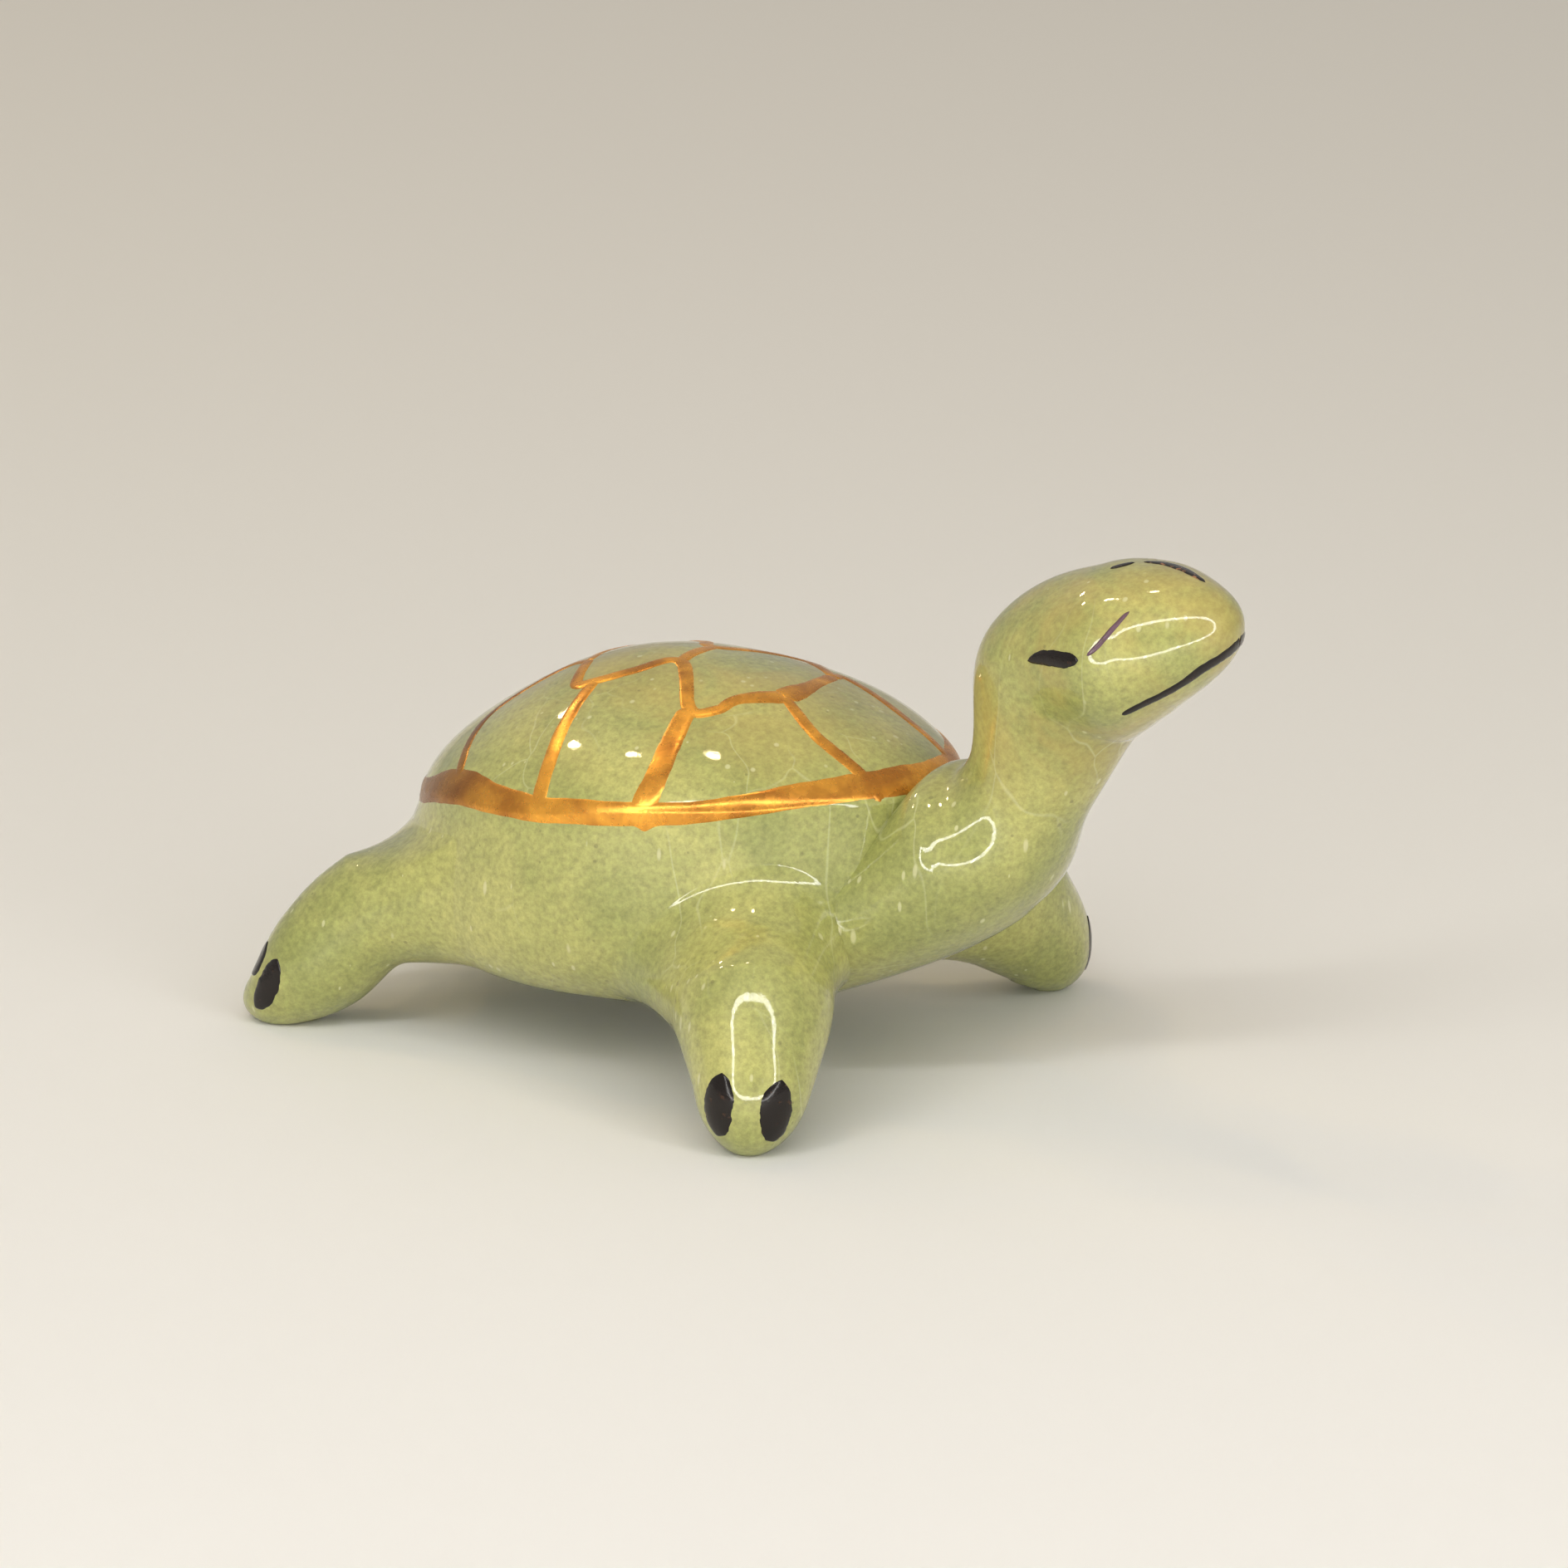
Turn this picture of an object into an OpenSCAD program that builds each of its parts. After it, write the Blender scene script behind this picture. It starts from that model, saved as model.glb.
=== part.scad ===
// Small walking turtle ornament in glazed ceramic with fired gold lines.
// X points forward to the head, Y to the animal's left, Z up from the table.
// Sizes are in millimetres and angles in degrees.

/* [Shell] */
// Length of the shell at its rim, front to back
shell_length = 27.4; // [24:0.2:31]
// Width of the shell at its rim
shell_width = 21.6; // [18:0.2:24]
// Height of the rim's middle above the table
rim_height = 12.8; // [11.6:0.1:14]
// How far the rim tilts up toward the head
rim_tilt = 8; // [4:0.5:11]
// How far the rim rises at both sides
rim_side_rise = 0.7; // [0:0.1:1.2]
// Height of the shell's highest point above the table
apex_height = 19.1; // [17.5:0.1:21.5]

/* [Lower body] */
// Clear height under the belly
belly_clearance = 2.4; // [1.6:0.1:3.4]
// How far the belly's lowest point lies behind the shell's middle
belly_setback = 1.7; // [0:0.1:2.5]
// Wall of the hollow body and shell
wall = 2.2; // [1.6:0.1:2.8]
// Bore of the vent hole in the belly
vent_diameter = 1.8; // [1:0.1:2.6]

/* [Neck and head] */
// Width of the neck at its thinnest
neck_width = 6.1; // [5.2:0.1:7]
// How far the back of the head stands in front of the rim
neck_lean = 7.9; // [7:0.1:9]
// How far the back of the head stands above the rim
neck_rise = 6.1; // [5:0.1:7.5]
// Width of the head at the eyes
head_width = 9.6; // [8.4:0.1:10.8]
// Depth of the head from crown to chin at the eyes
head_depth = 7.7; // [6.8:0.1:8.6]
// How far the head runs forward from its back to the start of the snout
head_forward = 5.5; // [4.6:0.1:6.4]
// How far the head climbs over that run
head_climb = 3.1; // [2.4:0.1:4]
// Length of the rounded snout
snout_length = 3.7; // [3:0.1:4.6]
// How far the head is tipped over to its right side
head_roll = 11; // [0:1:20]
// How far the head is turned to its right, measured at the snout
head_turn = 1.2; // [0:0.1:2]

/* [Front legs] */
// Distance of the front feet in front of the shell's middle
front_foot_reach = 12.6; // [11.4:0.1:14]
// Distance between the middles of the front feet
front_foot_spread = 28.2; // [26:0.2:31]
// Width of a front foot just above the table
front_foot_width = 4.5; // [3.8:0.1:5.4]
// Width of a front leg at the shoulder
front_leg_width = 8.0; // [7:0.1:8.6]

/* [Rear legs] */
// Distance of the rear feet behind the shell's middle
rear_foot_reach = 17.1; // [15.8:0.1:18.6]
// Distance between the middles of the rear feet
rear_foot_spread = 21.0; // [19.4:0.2:23]
// Width of a rear foot just above the table
rear_foot_width = 3.6; // [3:0.1:4.4]
// Width of a rear leg at half its length
rear_leg_width = 6.3; // [5.6:0.1:7]

/* [Tail] */
// Distance of the tail tip behind the rim
tail_reach = 2.4; // [1.6:0.1:3.4]
// Thickness of the tail at half its length
tail_width = 2.4; // [1.8:0.1:3]

/* [Gold and enamel] */
// Thickness of every fired line above the glaze
film = 0.12; // [0.08:0.01:0.2]
// Width of the gold band around the rim
rim_band_width = 1.15; // [0.8:0.05:1.5]
// Width of the gold lines between the shell plates
plate_line_width = 0.8; // [0.5:0.05:1.1]
// Width of the gold lines that run down to the rim band
rib_line_width = 1.0; // [0.6:0.05:1.3]
// Length of a painted eye
eye_length = 4.4; // [3.4:0.1:5]
// Width of a painted eye
eye_width = 0.9; // [0.6:0.05:1.2]
// Width of the mouth line
mouth_width = 0.55; // [0.35:0.05:0.8]
// Length of a painted claw
claw_length = 3.0; // [2.2:0.1:3.4]
// Width of a painted claw
claw_width = 1.5; // [1.1:0.05:1.8]

/* [Hidden] */
half_len = shell_length / 2;
half_wid = shell_width / 2;
front_rim_z = rim_height + half_len * tan(rim_tilt);
// Roundness of the profiles: a power of 1 gives a plain ellipse
dome_spread = 1.2;
dome_round = 1.4;
trunk_spread = 0.61;
trunk_round = 0.7;
trunk_bulge = 0.13;
// Depth that films and leg roots reach into the piece they sit on
film_root = 0.3;
limb_root = 0.3;
vent_x = -belly_setback;
// How round the skin is under a painted line
dome_skin_radius = 12;
head_skin_radius = 4.5;
around = 52;
limb_around = 28;
// Rings on a limb crowd toward its tip by this power
limb_crowd = 1.7;
// Share of the spine over which a ring's direction is averaged, so that tight bends don't fold
limb_ease = 0.08;

glaze = [0.58, 0.61, 0.36];
gold = [0.72, 0.45, 0.16];
enamel = [0.08, 0.06, 0.05];

// ---- small helpers
function unit(v) = v / norm(v);

// Smooth curve through the rows of k, s runs 0 to 1 with equal steps per row
function curve(k, s) =
  let (n = len(k) - 1, q = min(max(s, 0), 1) * n, i = min(floor(q), n - 1), f = q - i,
       b = k[i], c = k[i + 1],
       a = i > 0 ? k[i - 1] : 2 * b - c,
       e = i + 2 <= n ? k[i + 2] : 2 * c - b)
  0.5 * (2 * b + (c - a) * f + (2 * a - 5 * b + 4 * c - e) * f * f
         + (3 * b - a - 3 * c + e) * f * f * f);

// ---- the body: the rim is a tilted oval, t = 0 on it, t = -1 at the top and t = 1 at the belly
function rim_at(u, inset = 0) = [
  (half_len - inset) * cos(u), (half_wid - inset) * sin(u),
  rim_height + (half_len - inset) * cos(u) * tan(rim_tilt) + rim_side_rise * sin(u) * sin(u)
];
function body_at(u, t, inset = 0) =
  let (c = max(cos(90 * t), 0), s = abs(sin(90 * t)), up = t < 0, r = rim_at(u, inset),
       spread = up ? pow(c, dome_spread) : pow(c, trunk_spread) + trunk_bulge * sin(180 * t),
       rise = pow(s, up ? dome_round : trunk_round),
       pole = up ? apex_height - inset : belly_clearance + inset)
  [(up ? 0 : -belly_setback * rise) + r[0] * spread, r[1] * spread, r[2] + (pole - r[2]) * rise];
function body_normal(u, t) =
  let (a = body_at(u + 1, t) - body_at(u - 1, t), b = body_at(u, t + 0.01) - body_at(u, t - 0.01))
  unit(cross(b, a));

// Height parameter of the dome above a point given in plan
function dome_u(p) = atan2(p[1] / half_wid, p[0] / half_len);
function dome_t(p) = -acos(pow(min(norm([p[0] / half_len, p[1] / half_wid]), 1), 1 / dome_spread)) / 90;

// ---- limbs: [spine, squared half sizes, side direction, roll, start, root u, root t,
// root half sizes sideways, up and down]
// s runs along the spine to the tip at 1, where the half sizes end at 0 in a smooth round
function squared(k) = [for (a = k) [a[0] * a[0], a[1] * a[1]]];
function limb_at(m, s, phi) =
  let (e = limb_ease, c = curve(m[0], s), q = curve(m[1], s), b = curve(m[3], s)[0],
       d = unit(curve(m[0], min(s + e, 1)) - curve(m[0], min(s + e, 1) - 2 * e)),
       s0 = unit(m[2] - d * (m[2] * d)), n0 = cross(d, s0),
       side = s0 * cos(b) + n0 * sin(b), down = n0 * cos(b) - s0 * sin(b))
  c + side * cos(phi) * sqrt(max(q[0], 0)) + down * sin(phi) * sqrt(max(q[1], 0));
function limb_normal(m, s, phi) =
  let (a = limb_at(m, s + 0.01, phi) - limb_at(m, s - 0.01, phi),
       b = limb_at(m, s, phi + 2) - limb_at(m, s, phi - 2))
  unit(cross(b, a));

// The root of a limb spreads over the body: an oval on the skin, reached by a smooth fillet
function limb_foot(m, phi) =
  let (o = body_at(m[5], m[6]),
       a = (body_at(m[5] + 0.1, m[6]) - o) * 10, b = (body_at(m[5], m[6] + 0.002) - o) * 500,
       d = unit(limb_at(m, m[4], phi) - (limb_at(m, m[4], 0) + limb_at(m, m[4], 180)) / 2),
       gaa = a * a, gab = a * b, gbb = b * b, det = gaa * gbb - gab * gab,
       wu = (d * a * gbb - d * b * gab) / det * norm(a), wt = (d * b * gaa - d * a * gab) / det * norm(b),
       w = norm([wu, wt]))
  [wu / w * m[7][0] / norm(a), wt / w * m[7][wt < 0 ? 1 : 2] / norm(b)];
function fillet_ring(m, f, n) = [
  for (j = [0 : n - 1])
    let (phi = j * 360 / n, w = limb_foot(m, phi), u = m[5] + w[0], t = m[6] + w[1],
         p = limb_at(m, m[4], phi), out = unit(p - limb_at(m, m[4] + 0.05, phi)),
         nb = body_normal(u, t), q = body_at(u, t) - nb * limb_root,
         along = unit(body_at(u, t) - body_at(m[5] + w[0] * 0.98, m[6] + w[1] * 0.98)),
         reach = norm(q - p), p1 = p + out * reach * 0.38, p2 = q - unit(along - 0.4 * nb) * reach * 0.42,
         g = 1 - f)
    g * g * g * p + 3 * g * g * f * p1 + 3 * g * f * f * p2 + f * f * f * q
];

// ---- solids from rings of points
function flat(a) = [for (r = a) each r];
function quads(n, m) = flat([for (i = [0 : m - 2]) flat([for (j = [0 : n - 1])
  let (a = i * n + j, b = i * n + (j + 1) % n, c = a + n, d = b + n) [[a, c, b], [b, c, d]]])]);

// Rings run from the root to the tip, turning anticlockwise seen from the tip
module loft(rings, base, tip) {
  n = len(rings[0]);
  m = len(rings);
  polyhedron(concat(flat(rings), [base, tip]), concat(
    quads(n, m),
    [for (j = [0 : n - 1]) [n * m, j, (j + 1) % n]],
    [for (j = [0 : n - 1]) [n * m + 1, n * (m - 1) + (j + 1) % n, n * (m - 1) + j]]));
}
function middle(ring, i = 0) = i == len(ring) ? [0, 0, 0] : ring[i] / len(ring) + middle(ring, i + 1);

module limb_solid(m, tube_rings, side = 1) {
  n = limb_around;
  rings = concat(
    [for (f = [1 : -1 / 6 : 0.1]) fillet_ring(m, f, n)],
    [for (i = [0 : tube_rings - 1])
      let (s = 1 - (1 - m[4]) * pow(1 - i / tube_rings, limb_crowd))
      [for (j = [0 : n - 1]) limb_at(m, s, j * 360 / n)]]);
  base = body_at(m[5], m[6]) - body_normal(m[5], m[6]) * 1.4;
  multmatrix([[1, 0, 0, 0], [0, side, 0, 0], [0, 0, 1, 0]])
    loft(rings, base, m[0][len(m[0]) - 1]);
}

// A fired line: centres c on the skin, normals n, half widths w, r is the skin's own radius.
// A tall one has the same outline and cuts the lines that end against it.
function film_top(x, tall) = tall ? 5 * film : film * (1 - 0.7 * x * x * x * x);
module fired_line(c, n, w, r, side = 1, tall = false) {
  m = len(c);
  k = [1, 0.55, 0, -0.55, -1];
  rings = [for (i = [0 : m - 1])
    let (d = unit(c[min(i + 1, m - 1)] - c[max(i - 1, 0)]), b = unit(cross(n[i], d)))
    concat(
      [for (x = k) c[i] + b * w[i] * x + n[i] * (film_top(x, tall) - w[i] * w[i] * x * x / 2 / r)],
      [for (x = [-1, 0, 1]) c[i] + b * w[i] * x - n[i] * (film_root + w[i] * w[i] * x * x / 2 / r)])];
  multmatrix([[1, 0, 0, 0], [0, side, 0, 0], [0, 0, 1, 0]])
    loft(rings, middle(rings[0]), middle(rings[m - 1]));
}

// ---- neck and head: the back of the head stands over neck_x, the snout starts at snout_x
neck_x = half_len + neck_lean;
neck_z = front_rim_z + neck_rise;
snout_x = neck_x + head_forward;
snout_z = neck_z + head_climb;
neck_spine = [
  [half_len - 2, 0, front_rim_z - 5],
  [half_len + 3.5, 0, front_rim_z - 2.1],
  [neck_x - 2.1, -head_turn * 0.15, front_rim_z + 0.095 * neck_rise],
  [neck_x, -head_turn * 0.35, neck_z],
  [neck_x + 0.61 * head_forward, -head_turn * 0.62, neck_z + 0.71 * head_climb],
  [snout_x, -head_turn * 0.82, snout_z],
  [snout_x + 0.53 * snout_length, -head_turn * 0.94, snout_z + 0.19 * snout_length],
  [snout_x + snout_length, -head_turn, snout_z + 0.37 * snout_length]
];
neck_sizes = [
  [4.5, 4.15], [0.59 * neck_width, 0.695 * neck_width], [neck_width / 2, neck_width / 2],
  [0.41 * head_width, 0.56 * head_depth], [head_width / 2, head_depth / 2],
  [0.432 * head_width, 0.412 * head_depth], [0.287 * head_width, 0.293 * head_depth], [0, 0]
];
neck_rolls = [for (k = [0, 0, 0.3, 0.8, 1, 1, 1, 1]) [k * head_roll]];
neck_limb = [neck_spine, squared(neck_sizes), [0, -1, 0], neck_rolls, 0.22, 0, 0.425, [5.7, 5.4, 4.2]];

// ---- legs, given for the right side and mirrored for the left
no_roll = [for (i = [0 : 4]) [0]];
front_y = -front_foot_spread / 2;
front_spine = [
  [front_foot_reach - 4.7, front_y + 6.7, belly_clearance + 4.6],
  [front_foot_reach - 2.0, front_y + 3.5, belly_clearance + 3.4],
  [front_foot_reach - 0.8, front_y + 1.05, belly_clearance + 0.9],
  [front_foot_reach, front_y, 0.31 * front_foot_width],
  [front_foot_reach + 0.05, front_y - 0.45, -0.2]
];
front_ankle = 0.38 * front_foot_width + 0.12 * front_leg_width;
front_sizes = [[4.2, 4.2], [front_leg_width / 2, front_leg_width / 2], [front_ankle, front_ankle],
  [front_foot_width / 2, front_foot_width / 2], [0, 0]];
front_limb = [front_spine, squared(front_sizes), [1, 0, 0.3], no_roll, 0.3, -46.2, 0.5, [4.7, 4.75, 3.9]];
rear_y = -rear_foot_spread / 2;
rear_spine = [
  [8.7 - rear_foot_reach, rear_y + 5.3, belly_clearance + 5.2],
  [4.2 - rear_foot_reach, rear_y + 2.4, belly_clearance + 3.5],
  [1.7 - rear_foot_reach, rear_y + 1.15, belly_clearance + 0.6],
  [-rear_foot_reach, rear_y, 0.39 * rear_foot_width],
  [-rear_foot_reach - 1.65, rear_y - 0.6, rear_foot_width / 6]
];
rear_ankle = 0.155 * rear_foot_width + 0.345 * rear_leg_width;
rear_sizes = [[4.4, 4.4], [rear_leg_width / 2, rear_leg_width / 2], [rear_ankle, rear_ankle],
  [rear_foot_width / 2, rear_foot_width / 2], [0, 0]];
rear_limb = [rear_spine, squared(rear_sizes), [1, 0, 0.3], no_roll, 0.25, -139, 0.42, [4.2, 5.3, 4.2]];
tail_spine = [
  [2 - half_len, 0, belly_clearance + 6.2],
  [-half_len, 0, belly_clearance + 4.4],
  [-half_len - 0.7 * tail_reach, 0, belly_clearance + 3.1],
  [-half_len - tail_reach, 0, belly_clearance + 2.7]
];
tail_sizes = [[1.8, 1.6], [tail_width / 2, tail_width * 0.46], [tail_width * 0.34, tail_width * 0.3], [0, 0]];
tail_limb = [tail_spine, squared(tail_sizes), [0, 1, 0], no_roll, 0.36, 180, 0.4, [1.7, 2.2, 2.2]];

// ---- everything is drawn about the shell's middle, then moved to the middle of the whole length
tip_x = snout_x + snout_length;
back_x = -rear_foot_reach - rear_foot_width / 2;
mid_x = (tip_x + back_x) / 2;
module placed() { translate([-mid_x, 0, 0]) children(); }
module below_table() { translate([-100, -100, -20]) cube([200, 200, 20]); }

// ---- plain ceramic solids
module body_ring_solid(first, last, steps, inset = 0) {
  n = around;
  loft([for (i = [0 : steps - 1]) let (t = first + (last - first) * i / steps)
        [for (j = [0 : n - 1]) body_at((last > 0 ? -j : j) * 360 / n, t, inset)]],
       [0, 0, rim_height], body_at(0, last, inset));
}
// Half of the hollow body: outer skin, inner skin and the ring of rim that joins them
module half_shell(last) {
  n = around;
  m = 11;
  way = last > 0 ? -1 : 1;
  outer = [for (i = [m - 1 : -1 : 0]) [for (j = [0 : n - 1]) body_at(-way * j * 360 / n, last * i / m)]];
  inner = [for (i = [0 : m - 1]) [for (j = [0 : n - 1]) body_at(-way * j * 360 / n, last * i / m, wall)]];
  loft(concat(outer, inner), body_at(0, last), body_at(0, last, wall));
}
module body_solid() {
  body_ring_solid(0, 1, 11);
  body_ring_solid(0, -1, 11);
}
module vent() {
  translate([vent_x, 0, belly_clearance - wall])
    cylinder(d = vent_diameter, h = wall * 3, $fn = 48);
}

module trunk() color(glaze) placed() difference() { half_shell(1); vent(); }
module carapace() color(glaze) placed() half_shell(-1);
// One mesh per piece: children 1 and up are cut away from child 0
module trimmed() {
  placed() resize([0, 0, 0]) difference() {
    children(0);
    children([1 : $children - 1]);
  }
}
module limb(m, rings, side = 1) {
  trimmed() {
    limb_solid(m, rings, side);
    body_solid();
    below_table();
  }
}
module head_solid() { limb_solid(neck_limb, 15); }
module front_leg_solid(side) { limb_solid(front_limb, 10, side); }
module rear_leg_solid(side) { limb_solid(rear_limb, 10, side); }

module head_and_neck() color(glaze) limb(neck_limb, 15);
module front_right_leg() color(glaze) limb(front_limb, 10);
module front_left_leg() color(glaze) limb(front_limb, 10, -1);
module rear_right_leg() color(glaze) limb(rear_limb, 10);
module rear_left_leg() color(glaze) limb(rear_limb, 10, -1);
module tail() color(glaze) trimmed() {
  limb_solid(tail_limb, 6);
  body_solid();
  rear_leg_solid(1);
  rear_leg_solid(-1);
}

// ---- gold: the rim band follows the rim, a little above it here and there
band_lift = [0.6, 0.25, 0, 0.05, 0.5, 0.1, 0.1, 0.15, 0.85, 0.1, 0, 0.3];
function around_curve(k, u) =
  let (n = len(k), q = u / 360 * n, i = floor(q), f = q - i, a = k[(i + n - 1) % n], b = k[i % n],
       c = k[(i + 1) % n], e = k[(i + 2) % n])
  0.5 * (2 * b + (c - a) * f + (2 * a - 5 * b + 4 * c - e) * f * f + (3 * b - a - 3 * c + e) * f * f * f);
// Body parameter at a height h above the rim line
function t_at_height(u, h) =
  let (z = rim_at(u)[2])
  h >= 0 ? -asin(pow(h / (apex_height - z), 1 / dome_round)) / 90
         : asin(pow(h / (belly_clearance - z), 1 / trunk_round)) / 90;
module rim_band_solid(tall = false) {
  n = 60;
  k = [1, 0.6, 0, -0.6, -1];
  rings = [for (i = [0 : n - 1])
    let (u = i * 360 / n, lift = around_curve(band_lift, u),
         w = rim_band_width * (1 + 0.12 * sin(3 * u + 40) + 0.08 * sin(7 * u)) / 2)
    concat(
      [for (x = k) let (t = t_at_height(u, lift + x * w))
        body_at(u, t) + body_normal(u, t) * film_top(x, tall)],
      [for (x = [-1, 0, 1]) let (t = t_at_height(u, lift + x * w))
        body_at(u, t) - body_normal(u, t) * film_root])];
  m = len(rings[0]);
  polyhedron(flat(rings), flat([for (i = [0 : n - 1]) flat([for (j = [0 : m - 1])
    let (a = i * m + j, b = i * m + (j + 1) % m,
         c = ((i + 1) % n) * m + j, d = ((i + 1) % n) * m + (j + 1) % m)
    [[a, c, b], [b, c, d]]])]));
}

// ---- gold lines on the dome, their corners given in plan as parts of the shell's half length and half width
plate_right = [[-0.32, -0.16], [-0.245, -0.39], [-0.17, -0.385], [-0.055, -0.29], [0.065, -0.15],
  [0.255, -0.465], [0.345, -0.42], [0.37, -0.31], [0.47, -0.14]];
plate_left = [[-0.32, 0.15], [-0.24, 0.38], [-0.06, 0.3], [0.065, 0.14],
  [0.25, 0.45], [0.35, 0.42], [0.455, 0.325]];
cross_lines = [
  [plate_right[8] + [-0.01, 0.02], [0.475, 0.08], plate_left[6] + [-0.01, -0.02]],
  [plate_right[4] + [0, 0.02], [0.06, 0], plate_left[3] - [0, 0.02]],
  [plate_right[0] + [0.01, 0.01], [-0.335, 0], plate_left[0] + [0.01, -0.01]]
];
ribs_right = [
  [plate_right[8], [0.665, -0.285], [0.89, -0.335], [0.92, -0.34]],
  [plate_right[5], [0.295, -0.77], [0.305, -0.93], [0.306, -0.945]],
  [plate_right[2], [-0.155, -0.695], [-0.105, -0.96], [-0.1, -0.975]],
  [plate_right[0], [-0.425, -0.15], [-0.605, -0.33], [-0.61, -0.55], [-0.55, -0.775], [-0.555, -0.81]]
];
ribs_left = [
  [plate_left[6], [0.47, 0.4], [0.7, 0.34], [0.905, 0.27], [0.935, 0.265]],
  [plate_left[4], [0.3, 0.745], [0.31, 0.925], [0.31, 0.94]],
  [plate_left[1], [-0.17, 0.68], [-0.12, 0.96], [-0.12, 0.98]],
  [plate_left[0], [-0.43, 0.16], [-0.6, 0.36], [-0.6, 0.6], [-0.56, 0.78], [-0.56, 0.815]]
];
rib_sizes = [[0.75, 0.95], [0.95, 1.25], [0.8, 1.15], [0.85, 0.85]];

module dome_line(p, steps, first_width, last_width, tall = false) {
  q = [for (i = [0 : steps]) curve(p, i / steps)];
  ut = [for (a = q) [dome_u(a_mm(a)), dome_t(a_mm(a))]];
  fired_line([for (a = ut) body_at(a[0], a[1])], [for (a = ut) body_normal(a[0], a[1])],
    [for (i = [0 : steps])
      (first_width + (last_width - first_width) * i / steps) * (1 + 0.1 * sin(i * 97)) / 2],
    dome_skin_radius, 1, tall);
}
function a_mm(a) = [a[0] * half_len, a[1] * half_wid];
module plate_line_solid(p, tall = false) {
  dome_line(p, 3 * (len(p) - 1), plate_line_width, plate_line_width, tall);
}
module cross_line_solid(i, tall = false) {
  dome_line(cross_lines[i], 6, plate_line_width, plate_line_width, tall);
}
module rib_solid(p, i) {
  dome_line(p, 4 * (len(p) - 2), rib_line_width * rib_sizes[i][0], rib_line_width * rib_sizes[i][1]);
}
module gold_rim_band() color(gold) trimmed() {
  rim_band_solid();
  body_solid();
  head_solid();
  rear_leg_solid(1);
  rear_leg_solid(-1);
  limb_solid(tail_limb, 6);
}
module plate_line(p) color(gold) trimmed() {
  plate_line_solid(p);
  body_solid();
}
module cross_line(i) color(gold) trimmed() {
  cross_line_solid(i);
  body_solid();
  plate_line_solid(plate_right, true);
  plate_line_solid(plate_left, true);
}
module rib(p, i, plate) color(gold) trimmed() {
  rib_solid(p[i], i);
  body_solid();
  plate_line_solid(plate, true);
  rim_band_solid(true);
  cross_line_solid(i == 0 ? 0 : 2, true);
}
module gold_plate_line_right() plate_line(plate_right);
module gold_plate_line_left() plate_line(plate_left);
module gold_cross_line_front() cross_line(0);
module gold_cross_line_middle() cross_line(1);
module gold_cross_line_rear() cross_line(2);
module gold_rib_right_1() rib(ribs_right, 0, plate_right);
module gold_rib_right_2() rib(ribs_right, 1, plate_right);
module gold_rib_right_3() rib(ribs_right, 2, plate_right);
module gold_rib_right_4() rib(ribs_right, 3, plate_right);
module gold_rib_left_1() rib(ribs_left, 0, plate_left);
module gold_rib_left_2() rib(ribs_left, 1, plate_left);
module gold_rib_left_3() rib(ribs_left, 2, plate_left);
module gold_rib_left_4() rib(ribs_left, 3, plate_left);

// ---- painted marks: places on a limb as [distance along it, angle around it]
function stretched(path, about, k) = [for (a = path) about + (a - about) * k];
right_eye_mid = [0.62, -26];
left_eye_mid = [0.76, -103];
eye_k = eye_length / 4.4;
right_eye_path = stretched([[0.484, -27], [0.522, -25.5], [0.564, -21.5], [0.606, -18]],
  right_eye_mid, eye_k);
right_eye_corner_path = stretched([[0.634, -19.5], [0.675, -25.5], [0.715, -36], [0.751, -48]],
  right_eye_mid, eye_k);
left_eye_path = stretched([[0.69, -104], [0.75, -109], [0.82, -110], [0.905, -106]], left_eye_mid, eye_k);
left_eye_corner_path = stretched([[0.615, -87], [0.634, -91], [0.655, -97]], left_eye_mid, eye_k);
mouth_path = [[0.625, 35], [0.71, 37.5], [0.8, 39.5], [0.885, 41], [0.935, 56], [0.955, 74], [0.96, 90]];
claw_k = claw_length / 3;
front_claws = [
  stretched([[0.579, 85.5], [0.65, 89], [0.73, 94], [0.81, 99]], [0.7, 92], claw_k),
  stretched([[0.62, 24], [0.69, 23.5], [0.75, 20.5], [0.81, 15]], [0.72, 22], claw_k)
];
rear_claws = [
  stretched([[0.614, 69], [0.68, 61], [0.74, 52], [0.81, 32]], [0.71, 56], claw_k),
  stretched([[0.593, 102], [0.68, 101], [0.75, 97], [0.83, 84]], [0.71, 99], claw_k)
];

// fullness 0 is a plain stroke and 1 a leaf with pointed ends, mid is where it is widest
module limb_line(m, path, steps, w, fullness, r, side = 1, flipped = false, tall = false) {
  q = [for (i = [0 : steps]) let (a = curve(path, i / steps)) [a[0], flipped ? 180 - a[1] : a[1]]];
  fired_line([for (a = q) limb_at(m, a[0], a[1])], [for (a = q) limb_normal(m, a[0], a[1])],
    [for (i = [0 : steps]) w / 2 * (1 - fullness + fullness * sqrt(max(0.04, sin(180 * i / steps))))],
    r, side, tall);
}
module head_mark(path, steps, w, fullness, flipped = false) color(enamel) trimmed() {
  limb_line(neck_limb, path, steps, w, fullness, head_skin_radius, 1, flipped);
  head_solid();
}
module right_eye() head_mark(right_eye_path, 7, eye_width, 1);
module right_eye_corner() head_mark(right_eye_corner_path, 5, eye_width * 0.33, 0.5);
module left_eye() head_mark(left_eye_path, 7, eye_width * 0.9, 0.9);
module left_eye_corner() head_mark(left_eye_corner_path, 4, eye_width * 0.6, 1);
module mouth_line_right() head_mark(mouth_path, 10, mouth_width, 0.2);
module mouth_line_left() color(enamel) trimmed() {
  limb_line(neck_limb, mouth_path, 10, mouth_width, 0.2, head_skin_radius, 1, true);
  head_solid();
  limb_line(neck_limb, mouth_path, 10, mouth_width, 0.2, head_skin_radius, 1, false, true);
}
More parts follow.
